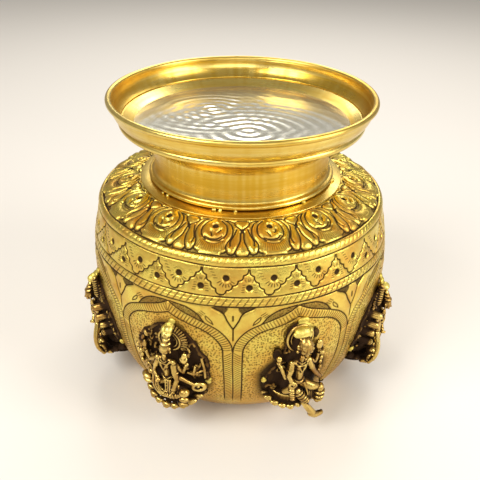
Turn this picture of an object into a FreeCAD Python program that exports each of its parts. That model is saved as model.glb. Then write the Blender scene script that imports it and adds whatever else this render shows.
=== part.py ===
import FreeCAD, Part
import math
import os
import re

import Sketcher

# Brass urli pot on a flat base: a belly shell brazed up from two halves, a turned collar ring, a
# waisted mouth with a rolled foot bead, a flared rim ring with a rolled lip, and eight seated
# cast figures brazed round the belly. Millimetres, +Z up, origin at the centre of the flat base.

DIMENSIONS = {
    # belly shell
    "wall": 2.5,                    # sheet thickness of belly and shoulder
    "belly_radius": 100.0,          # widest radius of the belly
    "belly_level": 80.0,            # height of the widest ring
    "belly_curve": 160.0,           # radius of the belly's upright arc
    "base_corner": 26.0,            # radius where the belly turns under to the flat base
    "seam_level": 103.0,            # height of the brazed seam between the two halves
    "shoulder_corner": 9.0,         # radius where the belly turns over into the shoulder
    "shoulder_curve": 95.0,         # radius of the domed shoulder
    "shoulder_centre": 47.0,        # distance of the shoulder arc's centre from the axis
    "shoulder_level": 138.6,        # height of the flat land inside the shoulder
    "land_radius": 66.4,            # outer radius of the flat land
    "hole_radius": 57.3,            # radius of the hole in the shoulder and in the collar
    # collar ring
    "collar_radius": 66.0,
    "collar_edge": 0.9,             # thickness at the outer edge
    "collar_height": 2.0,           # thickness at the hole
    # mouth: spigot, foot bead, waisted neck and dish
    "spigot_radius": 57.0,
    "spigot_level": 132.0,
    "mouth_wall": 2.0,
    "bead_ring": 59.0,              # radius of the ring that the foot bead's centre lies on
    "bead_level": 142.4,
    "bead_radius": 1.4,
    "neck_foot": 57.4,              # neck radius just above the foot bead
    "neck_radius": 56.6,            # neck radius at the waist
    "waist_level": 161.0,           # where the neck starts to flare
    "flare_radius": 9.0,
    "dish_radius": 75.6,            # radius of the ring that the dish edge roll's centre lies on
    "dish_level": 178.0,
    "dish_roll": 2.2,
    # rim ring
    "rim_seat": 179.8,              # height of the seam between dish and rim ring
    "rim_foot": 77.4,               # outer radius of the rim ring at its seam
    "rim_wall": 2.0,
    "rim_curve": 16.0,
    "lip_ring": 82.6,               # radius of the ring that the lip's centre lies on
    "lip_level": 191.8,
    "lip_radius": 1.9,
    # figures and their brazing
    "figure_level": 50.0,           # height of a figure's middle on the belly
    "figure_height": 64.0,
    "low_drop": 4.5,                # how much lower the side figures sit
    "figure_turn": -1.9,            # how far the ring of figures is turned about the axis, degrees
    "plate_thickness": 1.1,         # thickness of a casting's back plate
    "braze_size": 3.4,
    "tack_size": 1.7,
}
FIGURE_COUNT = 8
DESIGNS = ("leg_down", "low", "low", "crossed")     # of figures 1 to 4, and again of 5 to 8
TACK_ANGLES = (-52, -15, -3, 38, 75, 118, 160, 205, 248)

doc = FreeCAD.newDocument("urli_pot")
sheet = doc.addObject("Spreadsheet::Sheet", "dims")
for row, (alias, value) in enumerate(DIMENSIONS.items(), start=1):
    sheet.set(f"A{row}", alias)
    sheet.set(f"B{row}", str(value))
    sheet.setAlias(f"B{row}", alias)
doc.recompute()


def bound(expression):
    """An expression over the sheet's aliases as other objects write it."""
    return re.sub(r"[a-z]\w+", lambda word: "dims." + word.group(), expression)


def size(expression):
    """The value of an expression over the sheet's aliases, or of a plain number."""
    if isinstance(expression, str):
        return float(sheet.evalExpression(expression))
    return float(expression)


# ---------------------------------------------------------------- turned pieces

def arc_centre(first, second, radius, way):
    """Centre of the arc under half a turn from first to second, anticlockwise when way is 1."""
    middle = (first + second) * 0.5
    chord = second - first
    rise = math.sqrt(radius ** 2 - (chord.Length / 2) ** 2) * way / chord.Length
    return middle + FreeCAD.Vector(-chord.y, chord.x, 0) * rise


def turned_piece(label, corners, edges, smooth=()):
    """A PartDesign body turned about Z from a closed half section.

    corners maps each corner to (radius, height): an expression drives that coordinate, and a
    number only starts the solver off. An edge is (first, second) for a line, or
    (first, second, radius, centre, way) for an arc, with way 1 for anticlockwise, and centre
    given like a corner, as the index of an earlier arc that shares it, or as None. The edges
    meet smoothly at the corners named in smooth.
    """
    body = doc.addObject("PartDesign::Body", label)
    body.Label = label
    sketch = body.newObject("Sketcher::SketchObject", label + "_section")
    plane = next(p for p in body.Origin.OriginFeatures if p.Role == "XZ_Plane")
    sketch.AttachmentSupport = [(plane, "")]
    sketch.MapMode = "FlatFace"
    place = {name: FreeCAD.Vector(size(c[0]), size(c[1]), 0) for name, c in corners.items()}

    def drive(kind, expression, *geometry):
        value = size(expression)
        sketch.addConstraint(Sketcher.Constraint(kind, *geometry, abs(value)))
        name = f"{kind}_{sketch.ConstraintCount}"
        sketch.renameConstraint(sketch.ConstraintCount - 1, name)
        text = bound(expression)
        sketch.setExpression("Constraints." + name, text if value > 0 else f"-({text})")

    def pin(geometry, end, entry):
        for kind, value, axis in (("DistanceX", entry[0], -2), ("DistanceY", entry[1], -1)):
            if not isinstance(value, str):
                continue
            if size(value) == 0:
                sketch.addConstraint(Sketcher.Constraint("PointOnObject", geometry, end, axis))
            elif size(value) > 0:
                drive(kind, value, -1, 1, geometry, end)
            else:
                drive(kind, value, geometry, end, -1, 1)

    ends = []
    for first, second, *arc in edges:
        if not arc:
            line = Part.LineSegment(place[first], place[second])
            ends.append((sketch.addGeometry(line, False), 1, 2))
            continue
        radius, centre, way = arc
        if isinstance(centre, int):
            middle = sketch.Geometry[centre].Center
        elif centre:
            middle = FreeCAD.Vector(size(centre[0]), size(centre[1]), 0)
        else:
            middle = arc_centre(place[first], place[second], size(radius), way)
        spokes = [place[name] - middle for name in (first, second)[::way]]
        angles = [math.atan2(spoke.y, spoke.x) for spoke in spokes]
        circle = Part.Circle(middle, FreeCAD.Vector(0, 0, 1), size(radius))
        ends.append((sketch.addGeometry(Part.ArcOfCircle(circle, *angles), False), *(1, 2)[::way]))
    for index, (first, second, *arc) in enumerate(edges):
        after = ends[(index + 1) % len(ends)]
        joint = "Tangent" if second in smooth else "Coincident"
        here = ends[index]
        sketch.addConstraint(Sketcher.Constraint(joint, here[0], here[2], after[0], after[1]))
        pin(here[0], here[1], corners[first])
        if arc:
            drive("Radius", arc[0], here[0])
            if isinstance(arc[1], int):
                sketch.addConstraint(Sketcher.Constraint("Coincident", here[0], 3, arc[1], 3))
            elif arc[1]:
                pin(here[0], 3, arc[1])
    doc.recompute()
    moved = max((sketch.getPoint(end[0], end[1]) - place[edge[0]]).Length
                for edge, end in zip(edges, ends))
    if sketch.FullyConstrained is False or moved > 0.5:
        raise RuntimeError(f"section of {label}: constrained {sketch.FullyConstrained}, moved {moved}")
    turn = body.newObject("PartDesign::Revolution", label + "_turned")
    turn.Profile = sketch
    turn.ReferenceAxis = (sketch, ["V_Axis"])
    turn.Angle = 360
    body.Tip = turn
    doc.recompute()
    return body


def rolling_centre(first, first_radius, second, second_radius):
    """Centre at the given distances from two others, on the outer side."""
    span = second - first
    along = (first_radius ** 2 - second_radius ** 2 + span.Length ** 2) / (2 * span.Length)
    aside = math.sqrt(first_radius ** 2 - along ** 2)
    unit = span * (1 / span.Length)
    return first + unit * along + FreeCAD.Vector(unit.y, -unit.x, 0) * aside


def towards(centre, other, distance):
    """The point at a distance from centre in the direction from centre to other."""
    step = other - centre
    point = centre + step * (distance / step.Length)
    return point.x, point.y


def on_circle(centre, radius, height):
    """The radius at which a circle of the section reaches a height."""
    return centre.x + math.sqrt(radius ** 2 - (height - centre.y) ** 2)


BELLY_CENTRE = ("belly_radius - belly_curve", "belly_level")
DOME_EDGE = 2                       # the shoulder's domed arc, which its inner face follows


def lower_bowl():
    """The lower half of the belly, with the flat base and an open top at the seam."""
    belly = FreeCAD.Vector(size(BELLY_CENTRE[0]), size(BELLY_CENTRE[1]), 0)
    curve, corner, wall, seam = (size(n) for n in ("belly_curve", "base_corner", "wall", "seam_level"))
    reach = math.sqrt((curve - corner) ** 2 - (belly.y - corner) ** 2)
    turn = FreeCAD.Vector(belly.x + reach, corner, 0)
    corners = {
        "axis_low": ("0", "0"),
        "foot": (turn.x, "0"),
        "heel": towards(belly, turn, curve),
        "seam_out": (on_circle(belly, curve, seam), "seam_level"),
        "seam_in": (on_circle(belly, curve - wall, seam), "seam_level"),
        "heel_in": towards(belly, turn, curve - wall),
        "foot_in": (turn.x, "wall"),
        "axis_high": ("0", "wall"),
    }
    edges = [
        ("axis_low", "foot"),
        ("foot", "heel", "base_corner", (turn.x, turn.y), 1),
        ("heel", "seam_out", "belly_curve", BELLY_CENTRE, 1),
        ("seam_out", "seam_in"),
        ("seam_in", "heel_in", "belly_curve - wall", BELLY_CENTRE, -1),
        ("heel_in", "foot_in", "base_corner - wall", (turn.x, turn.y), -1),
        ("foot_in", "axis_high"),
        ("axis_high", "axis_low"),
    ]
    return turned_piece("lower_bowl", corners, edges, ("foot", "heel", "heel_in", "foot_in"))


def shoulder():
    """The upper half of the belly, up to the flat land round its hole."""
    belly = FreeCAD.Vector(size(BELLY_CENTRE[0]), size(BELLY_CENTRE[1]), 0)
    curve, corner, dome, wall, seam, land, level = (size(n) for n in (
        "belly_curve", "shoulder_corner", "shoulder_curve", "wall", "seam_level", "land_radius",
        "shoulder_level"))
    across = size("shoulder_centre")
    crown = FreeCAD.Vector(across, level - math.sqrt(dome ** 2 - (land - across) ** 2), 0)
    turn = rolling_centre(belly, curve - corner, crown, dome - corner)
    if turn.y < belly.y:
        turn = rolling_centre(crown, dome - corner, belly, curve - corner)
    corners = {
        "seam_out": (on_circle(belly, curve, seam), "seam_level"),
        "turn_low": towards(belly, turn, curve),
        "turn_high": towards(crown, turn, dome),
        "land_out": ("land_radius", "shoulder_level"),
        "hole_top": ("hole_radius", "shoulder_level"),
        "hole_foot": ("hole_radius", "shoulder_level - wall"),
        "land_in": (on_circle(crown, dome - wall, level - wall), "shoulder_level - wall"),
        "turn_high_in": towards(crown, turn, dome - wall),
        "turn_low_in": towards(belly, turn, curve - wall),
        "seam_in": (on_circle(belly, curve - wall, seam), "seam_level"),
    }
    edges = [
        ("seam_out", "turn_low", "belly_curve", BELLY_CENTRE, 1),
        ("turn_low", "turn_high", "shoulder_corner", (turn.x, turn.y), 1),
        ("turn_high", "land_out", "shoulder_curve", ("shoulder_centre", crown.y), 1),
        ("land_out", "hole_top"),
        ("hole_top", "hole_foot"),
        ("hole_foot", "land_in"),
        ("land_in", "turn_high_in", "shoulder_curve - wall", DOME_EDGE, -1),
        ("turn_high_in", "turn_low_in", "shoulder_corner - wall", (turn.x, turn.y), -1),
        ("turn_low_in", "seam_in", "belly_curve - wall", BELLY_CENTRE, -1),
        ("seam_in", "seam_out"),
    ]
    smooth = ("turn_low", "turn_high", "turn_high_in", "turn_low_in")
    return turned_piece("shoulder", corners, edges, smooth)


def collar_ring():
    """The turned ring that lies on the shoulder's land round the hole."""
    corners = {
        "seat_in": ("hole_radius", "shoulder_level"),
        "seat_out": ("collar_radius", "shoulder_level"),
        "edge": ("collar_radius", "shoulder_level + collar_edge"),
        "crest": ("hole_radius", "shoulder_level + collar_height"),
    }
    edges = [
        ("seat_in", "seat_out"),
        ("seat_out", "edge"),
        ("edge", "crest", "collar_radius / 2", None, 1),
        ("crest", "seat_in"),
    ]
    return turned_piece("collar_ring", corners, edges)


def mouth():
    """Spigot, rolled foot bead, waisted neck and the dish, spun from one sheet."""
    bead = ("bead_ring", "bead_level")
    flare = ("neck_radius + flare_radius", "waist_level")
    roll = ("dish_radius", "dish_level")
    bead_top = size("bead_level + bead_radius")
    flare_at = FreeCAD.Vector(size(flare[0]), size(flare[1]), 0)
    roll_at = FreeCAD.Vector(size(roll[0]), size(roll[1]), 0)
    inner_edge = FreeCAD.Vector(size("dish_radius - dish_roll / 4"), size("rim_seat"), 0)
    flare_radius, roll_radius = size("flare_radius"), size("dish_roll")
    span = roll_at - flare_at
    rise = math.atan2(span.y, span.x) - math.asin((flare_radius + roll_radius) / span.Length)
    normal = FreeCAD.Vector(-math.sin(rise), math.cos(rise), 0)
    inner_span = inner_edge - flare_at
    inner_radius = flare_radius + size("mouth_wall")
    inner_rise = (math.atan2(inner_span.y, inner_span.x)
                  - math.asin(inner_radius / inner_span.Length))
    inner_normal = FreeCAD.Vector(-math.sin(inner_rise), math.cos(inner_rise), 0)
    flare_end = flare_at + normal * flare_radius
    roll_start = roll_at - normal * roll_radius
    inner_end = flare_at + inner_normal * inner_radius
    seat = on_circle(roll_at, roll_radius, size("rim_seat"))
    corners = {
        "spigot_in": ("spigot_radius - mouth_wall", "spigot_level"),
        "spigot_out": ("spigot_radius", "spigot_level"),
        "bead_root": ("spigot_radius", "bead_level - bead_radius"),
        "bead_low": ("bead_ring", size("bead_level - bead_radius")),
        "bead_high": ("bead_ring", bead_top),
        "neck_foot": ("neck_foot", "bead_level + bead_radius"),
        "waist": (size("neck_radius"), "waist_level"),
        "flare_end": (flare_end.x, flare_end.y),
        "roll_start": (roll_start.x, roll_start.y),
        "seat_out": (seat, "rim_seat"),
        "seat_in": ("dish_radius - dish_roll / 4", "rim_seat"),
        "flare_end_in": (inner_end.x, inner_end.y),
        "waist_in": (size("neck_radius - mouth_wall"), "waist_level"),
    }
    edges = [
        ("spigot_in", "spigot_out"),
        ("spigot_out", "bead_root"),
        ("bead_root", "bead_low"),
        ("bead_low", "bead_high", "bead_radius", bead, 1),
        ("bead_high", "neck_foot"),
        ("neck_foot", "waist"),
        ("waist", "flare_end", "flare_radius", flare, -1),
        ("flare_end", "roll_start"),
        ("roll_start", "seat_out", "dish_roll", roll, 1),
        ("seat_out", "seat_in"),
        ("seat_in", "flare_end_in"),
        ("flare_end_in", "waist_in", "flare_radius + mouth_wall", flare, 1),
        ("waist_in", "spigot_in"),
    ]
    return turned_piece("mouth", corners, edges, ("flare_end", "roll_start", "flare_end_in"))


def rim_ring():
    """The flared ring with a rolled lip that stands on the dish edge."""
    lip = ("lip_ring", "lip_level")
    lip_at = FreeCAD.Vector(size(lip[0]), size(lip[1]), 0)
    lip_radius = size("lip_radius")
    under, inside = size("lip_radius / 3"), size("lip_radius * 0.9")
    corners = {
        "seat_in": ("rim_foot - rim_wall", "rim_seat"),
        "seat_out": ("rim_foot", "rim_seat"),
        "lip_under": ("lip_ring - lip_radius / 3", lip_at.y - math.sqrt(lip_radius ** 2 - under ** 2)),
        "lip_inside": ("lip_ring - lip_radius * 0.9",
                       lip_at.y - math.sqrt(lip_radius ** 2 - inside ** 2)),
        "ridge": ("rim_foot - rim_wall", "rim_seat + rim_wall / 3"),
    }
    edges = [
        ("seat_in", "seat_out"),
        ("seat_out", "lip_under", "rim_curve", None, 1),
        ("lip_under", "lip_inside", "lip_radius", lip, 1),
        ("lip_inside", "ridge", "rim_curve - rim_wall", None, -1),
        ("ridge", "seat_in"),
    ]
    return turned_piece("rim_ring", corners, edges)


# ---------------------------------------------------------------- cast figures

def belly_core(grown=0):
    """The belly as a filled solid, grown outwards, which shapes the castings' backs and brazing."""
    belly = FreeCAD.Vector(size(BELLY_CENTRE[0]), 0, size(BELLY_CENTRE[1]))
    curve, corner, seam = size("belly_curve"), size("base_corner"), size("seam_level")
    reach = math.sqrt((curve - corner) ** 2 - (belly.z - corner) ** 2)
    turn = FreeCAD.Vector(belly.x + reach, 0, corner)
    outward = (turn - belly) * (1 / (turn - belly).Length)
    curve, corner = curve + grown, corner + grown
    heel = belly + outward * curve
    foot = turn - FreeCAD.Vector(0, 0, corner)
    lean = FreeCAD.Vector(math.sin(math.radians(35)), 0, -math.cos(math.radians(35)))
    middle_height = (heel.z + seam) / 2
    middle = FreeCAD.Vector(belly.x + math.sqrt(curve ** 2 - (middle_height - belly.z) ** 2), 0,
                            middle_height)
    top = FreeCAD.Vector(belly.x + math.sqrt(curve ** 2 - (seam - belly.z) ** 2), 0, seam)
    low_axis, high_axis = FreeCAD.Vector(0, 0, foot.z), FreeCAD.Vector(0, 0, seam)
    outline = [
        Part.LineSegment(low_axis, foot),
        Part.Arc(foot, turn + lean * corner, heel),
        Part.Arc(heel, middle, top),
        Part.LineSegment(top, high_axis),
        Part.LineSegment(high_axis, low_axis),
    ]
    face = Part.Face(Part.Wire([edge.toShape() for edge in outline]))
    return face.revolve(FreeCAD.Vector(), FreeCAD.Vector(0, 0, 1), 360)


def spot(across, out, up):
    """A place on a figure, in hundredths of its height, as a vector in its own frame.

    The frame's origin is on the belly behind the figure's middle: across is to the right of
    someone facing the pot, out is away from the wall and up follows the wall.
    """
    scale = size("figure_height") / 100
    return FreeCAD.Vector(across, -out, up) * scale


def ball(place, radius):
    return Part.makeSphere(radius * size("figure_height") / 100, spot(*place))


def disc(first, second, radius, far_radius):
    """A straight tapered length with flat ends."""
    scale = size("figure_height") / 100
    start, finish = spot(*first), spot(*second)
    step = finish - start
    return Part.makeCone(radius * scale, far_radius * scale, step.Length, start, step)


def limb(first, second, radius, far_radius):
    """A straight tapered limb with a round joint at its far end."""
    return disc(first, second, radius, far_radius).fuse(ball(second, far_radius))


def arm(side, places):
    """One arm through shoulder, elbow and hand, on the side given by 1 or -1."""
    shoulder_at, elbow, hand = [(side * across, out, up) for across, out, up in places]
    return [limb(shoulder_at, elbow, 3.4, 3.0), limb(elbow, hand, 2.9, 2.5), ball(hand, 3.4)]


def lotus_seat(radius, level, count):
    """The seat, sunk into the wall, with petals round its front."""
    sunk = 23.5 - radius
    pieces = [disc((0, sunk, level), (0, sunk, level + 5), radius - 2, radius)]
    for step in range(count):
        turn = math.radians(-66 + 132 * step / (count - 1))
        pieces.append(ball((radius * math.sin(turn), radius * math.cos(turn) + sunk, level), 4.2))
    return pieces


def side_bars(across, levels):
    """Stout bars at both edges, from inside the wall out to the figure."""
    return [limb((side * across, -6, level), (side * (across - 5), 9, level), 2.5, 2.1)
            for side in (-1, 1) for level in levels]


def head_and_body():
    """Halo, crowned head, neck and body, the same in both poses."""
    return [
        disc((0, -4, 29), (0, 4.5, 29), 16.5, 16),         # halo
        limb((0, 11, -19), (0, 10.5, 10), 10.5, 9),        # body
        limb((0, 11, 12), (0, 11.5, 22), 4.2, 4),          # neck
        ball((0, 11.5, 29.5), 8.6),                        # head
        limb((0, 11, 36), (0, 8.6, 48), 7, 2.6),           # crown
    ]


def crossed_pose():
    """Arms, legs and attributes of the wider figure with crossed legs."""
    pieces = head_and_body() + lotus_seat(30, -36, 9) + side_bars(36, (12, 4, -4))
    pieces.append(limb((-22, 9.5, -25), (-22, 9.5, -13), 6.0, 5.2))       # pot at one hand
    pieces.append(disc((33, 3, -12), (33, 10.5, -12), 6.6, 6.2))          # ring at the other
    for side in (-1, 1):
        pieces += arm(side, ((9, 9.5, 12), (20, 10, 4), (24, 9, 15)))
        pieces += arm(side, ((9, 11, 10), (14, 14, -4), (18, 14, -13)))
        pieces.append(limb((side * 23, 9, 16), (side * 24, 8.5, 24), 2.2, 3.6))
        pieces.append(limb((side * 6, 12, -19), (side * 25, 15.5, -17), 7.4, 6.2))
        pieces.append(limb((side * 24, 17, -19), (side * -2, 20, -24), 5.0, 4.6))
    return pieces


def leg_down_pose():
    """Arms, legs and attributes of the narrower figure with one leg down."""
    pieces = head_and_body() + lotus_seat(25, -41, 7) + side_bars(27, (12, 3, -6))
    pieces.append(disc((28, 11, -23), (28, 15.5, -23), 4.0, 3.6))         # flower at one hand
    for side, hand in ((-1, (10, 16.5, -9)), (1, (25, 13.5, -17))):
        pieces += arm(side, ((8, 9.5, 11), (16, 10.5, 0), (21, 9, 13)))
        pieces += arm(side, ((8, 11, 9), (13.5, 14.5, -3), hand))
        pieces.append(limb((side * 21, 9, 15), (side * 22, 8, 22), 2.2, 3.8))
    for places, radius, far_radius in (
            (((-3, 13, -20), (-17, 17, -26)), 7.0, 6.0),
            (((-17, 18, -28), (6, 22, -36)), 5.0, 4.6),
            (((4, 13, -19), (21, 21, -27)), 7.2, 6.2),
            (((21, 22, -27), (12, 25, -42)), 5.8, 4.6),
            (((12, 25, -44), (19, 27, -50)), 4.0, 3.0)):
        pieces.append(limb(*places, radius, far_radius))
    return pieces


def figure_seat(height):
    """Placement of a figure's own frame at azimuth 0: on the belly and leaning with it."""
    drop = height - size("belly_level")
    reach = size("belly_radius - belly_curve") + math.sqrt(size("belly_curve") ** 2 - drop ** 2)
    lean = -math.degrees(math.asin(drop / size("belly_curve")))
    axis = FreeCAD.Rotation(FreeCAD.Vector(1, 0, 0), lean)
    return FreeCAD.Placement(FreeCAD.Vector(0, -reach, height), axis)


def biggest(shape):
    return max(shape.Solids, key=lambda solid: solid.Volume)


def back_plate(discs, seat):
    """The thin plate that follows the belly behind a figure, from discs of (level, radius)."""
    outline = [disc((0, -12, level), (0, 8, level), radius, radius - 0.1) for level, radius in discs]
    blank = outline[0].multiFuse(outline[1:]).transformed(seat)
    return blank.common(belly_core(size("plate_thickness")))


def cast_figures():
    """Eight castings in two poses, each with three braze fillets that tie it to the belly."""
    core = belly_core()
    wide_plate, narrow_plate = ((0, 36), (22, 26)), ((-15, 27.5), (6, 25))
    castings = {}
    for design, pose, level, discs, edge in (
            ("crossed", crossed_pose(), "figure_level", wide_plate, (37, -13)),
            ("low", crossed_pose(), "figure_level - low_drop", wide_plate, (37, -13)),
            ("leg_down", leg_down_pose(), "figure_level + figure_height / 15", narrow_plate, (28.5, -18))):
        seat = figure_seat(size(level)).toMatrix()
        figure = pose[0].multiFuse(pose[1:]).transformed(seat)
        shape = biggest(figure.fuse(back_plate(discs, seat)).cut(core))
        brazes = []
        for place, share in (((0, 4, 51), 1), ((-edge[0], -3, edge[1]), 0.7), ((edge[0], -3, edge[1]), 0.7)):
            drop = Part.makeSphere(size("braze_size") * share, spot(*place), FreeCAD.Vector(0, 1, 0.2))
            drop = drop.transformed(seat)
            brazes.append(biggest(drop.cut(core).cut(shape)))
        castings[design] = (shape, brazes)
    fillets = []
    for number in range(FIGURE_COUNT):
        angle = 360 / FIGURE_COUNT * (number + 0.5) + size("figure_turn")
        turn = FreeCAD.Placement(FreeCAD.Vector(), FreeCAD.Rotation(FreeCAD.Vector(0, 0, 1), angle))
        shape, brazes = castings[DESIGNS[number % len(DESIGNS)]]
        add_piece(f"figure_{number + 1}", shape, turn)
        fillets += [braze.transformed(turn.toMatrix()) for braze in brazes]
    add_piece("figure_brazes", Part.makeCompound(fillets))


def add_piece(label, shape, placement=FreeCAD.Placement()):
    piece = doc.addObject("Part::Feature", label)
    piece.Label = label
    piece.Shape = shape
    piece.Placement = placement
    return piece


def neck_tacks(neck, collar):
    """Small braze tacks between the foot bead and the collar ring."""
    blob = size("tack_size")
    tacks = []
    for angle in TACK_ANGLES:
        turn = math.radians(angle)
        reach = size("bead_ring + bead_radius * 0.8")
        centre = FreeCAD.Vector(reach * math.sin(turn), -reach * math.cos(turn),
                                size("shoulder_level + collar_height"))
        drop = Part.makeSphere(blob, centre).cut(neck.Shape).cut(collar.Shape)
        tacks.append(biggest(drop))
    return add_piece("neck_tacks", Part.makeCompound(tacks))


bodies = [lower_bowl(), shoulder(), collar_ring(), mouth(), rim_ring()]
neck_tacks(bodies[3], bodies[2])
cast_figures()
doc.recompute()

pieces = [item for item in doc.Objects
          if item.TypeId in ("PartDesign::Body", "Part::Feature")]
for item in doc.Objects:
    if "Invalid" in item.State or "Error" in item.State:
        raise RuntimeError(f"{item.Label} failed: {item.State}")
for item in pieces:
    if item.Shape.isNull() or not item.Shape.isValid():
        raise RuntimeError(f"{item.Label} has no valid shape")

os.makedirs("parts", exist_ok=True)
for item in pieces:
    item.Shape.exportStep(os.path.join("parts", item.Label + ".step"))
    box = item.Shape.BoundBox
    print(f"{item.Label:14s} solids {len(item.Shape.Solids):2d} volume {item.Shape.Volume:10.1f}"
          f" z {box.ZMin:7.2f} {box.ZMax:7.2f} reach {max(box.XMax, box.YMax):7.2f}")
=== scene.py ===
"""Looks of the brass urli bowl: chased shells, turned mouth and rim, cast figures and their brazing."""
import math
import random

import bpy
import numpy as np
from mathutils import Matrix, Vector


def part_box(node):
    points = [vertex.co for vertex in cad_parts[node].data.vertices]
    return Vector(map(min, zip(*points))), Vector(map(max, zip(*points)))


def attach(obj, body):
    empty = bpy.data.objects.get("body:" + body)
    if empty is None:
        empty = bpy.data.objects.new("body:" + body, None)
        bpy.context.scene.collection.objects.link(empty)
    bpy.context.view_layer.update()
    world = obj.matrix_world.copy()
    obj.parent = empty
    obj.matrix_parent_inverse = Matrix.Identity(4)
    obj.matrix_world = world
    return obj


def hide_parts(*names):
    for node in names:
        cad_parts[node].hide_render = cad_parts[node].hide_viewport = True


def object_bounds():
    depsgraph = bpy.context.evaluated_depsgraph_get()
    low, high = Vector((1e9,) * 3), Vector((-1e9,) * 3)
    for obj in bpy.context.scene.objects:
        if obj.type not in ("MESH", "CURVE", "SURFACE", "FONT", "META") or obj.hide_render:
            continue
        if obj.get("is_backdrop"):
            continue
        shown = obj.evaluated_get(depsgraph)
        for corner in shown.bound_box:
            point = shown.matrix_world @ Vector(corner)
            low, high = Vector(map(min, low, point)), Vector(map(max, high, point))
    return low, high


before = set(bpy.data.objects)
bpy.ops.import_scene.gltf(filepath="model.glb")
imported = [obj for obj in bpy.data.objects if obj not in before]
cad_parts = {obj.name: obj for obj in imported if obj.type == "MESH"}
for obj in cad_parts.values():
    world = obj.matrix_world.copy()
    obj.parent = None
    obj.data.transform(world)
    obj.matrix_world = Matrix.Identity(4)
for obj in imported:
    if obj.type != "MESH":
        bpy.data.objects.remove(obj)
cad_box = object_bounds()

MM = 0.001
CIRCLE = 2 * math.pi
TINY = 1e-12                            # keeps a division by a length of nought safe

# ---------------------------------------------------------------- sizes, in millimetres
# The section of the belly and shoulder is made of arcs. A centre is (radius, height).
BELLY_CENTRE, BELLY_CURVE = (-60.0, 80.0), 160.0
BELLY_RADIUS = 97                       # where the widths of figures and triangles are measured
BASE_CORNER = 26.0
BASE_FLAT = 50
SHOULDER_CORNER = 9.0
DOME_REACH, DOME_CURVE = 47.0, 95.0     # distance of the dome arc's centre from the axis, radius
WALL = 2.5
LAND_RADIUS = 66.4
HOLE_RADIUS = 57.3
ROPE_LOWER = (100.2, 106.2)             # heights of the lower rope band's edges
ROPE_WIDTH = 6.0
ROPE_STROKES = 150
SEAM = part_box("lower_bowl")[1].z / MM
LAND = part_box("shoulder")[1].z / MM

PANELS = 8
PANEL_FOOT, PANEL_TOP = 14, 101
ZIGZAGS = 22
ZIGZAG_LENGTH = 19.0
LEAVES = 15
LEAF_LENGTH = 26.5
LEAF_RADIUS = 80
TURN = math.radians(-1.9)               # the panels and figures are turned by this about the axis
LEAF_TURN = math.radians(1.0)
ZIGZAG_TURN = math.radians(11.6)
COLUMNS = 1320                          # points round the chased shells
SPUN_COLUMNS = 720                      # points round the turned pieces


# ---------------------------------------------------------------- curves and sections

def arc(centre, radius, start, end, step=0.5):
    """Points along an arc of the section, start and end in degrees from the outward direction."""
    count = max(2, int(abs(math.radians(end - start)) * radius / step) + 1)
    turn = np.radians(np.linspace(start, end, count))
    return np.stack([centre[0] + radius * np.cos(turn), centre[1] + radius * np.sin(turn)], 1)


def joined(*runs):
    """Point lists end to end, without doubled points."""
    points = np.concatenate([np.asarray(run, float) for run in runs])
    keep = np.ones(len(points), bool)
    keep[1:] = np.linalg.norm(np.diff(points, axis=0), axis=1) > 1e-4
    return points[keep]


def path_length(points):
    """Distance along a path from its first point."""
    return np.concatenate([[0], np.cumsum(np.linalg.norm(np.diff(points, axis=0), axis=1))])


def spaced(points, step):
    """The same path with points at an even spacing."""
    along = path_length(points)
    count = max(2, int(round(along[-1] / step)) + 1)
    places = np.linspace(0, along[-1], count)
    return np.stack([np.interp(places, along, points[:, k]) for k in (0, 1)], 1)


def with_ends(points):
    """A path with one more point past each end, for curve_between."""
    return np.concatenate([2 * points[:1] - points[1:2], points, 2 * points[-1:] - points[-2:-1]])


def curve_between(a, b, c, d, t):
    """The Catmull-Rom curve from b at t = 0 to c at t = 1."""
    return 0.5 * (2 * b + (c - a) * t + (2 * a - 5 * b + 4 * c - d) * t ** 2
                  + (3 * b - a - 3 * c + d) * t ** 3)


def smooth_line(points, step=0.35, closed=False):
    """A smooth curve through a few points, as an even polyline."""
    points = np.asarray(points, float)
    if len(points) == 2:
        return spaced(points, step)
    padded = np.concatenate([points[-1:], points, points[:2]]) if closed else with_ends(points)
    t = np.linspace(0, 1, 12, endpoint=False)[:, None]
    runs = [curve_between(*near, t) for near in zip(padded[:-3], padded[1:-2], padded[2:-1], padded[3:])]
    return spaced(np.concatenate([*runs, padded[-2:-1]]), step)


def noise(theta, height, seed, waves, size):
    """A gentle field that varies round the pot and up it, between about -size and size."""
    draw = random.Random(seed)
    total = np.zeros(np.broadcast(theta, height).shape)
    for _ in range(waves):
        total += np.sin(draw.randint(1, 14) * theta + draw.uniform(0.02, 0.16) * height
                        + draw.uniform(0, 6.3))
    return total * size / math.sqrt(waves)


# ---------------------------------------------------------------- chased tiles

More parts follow.
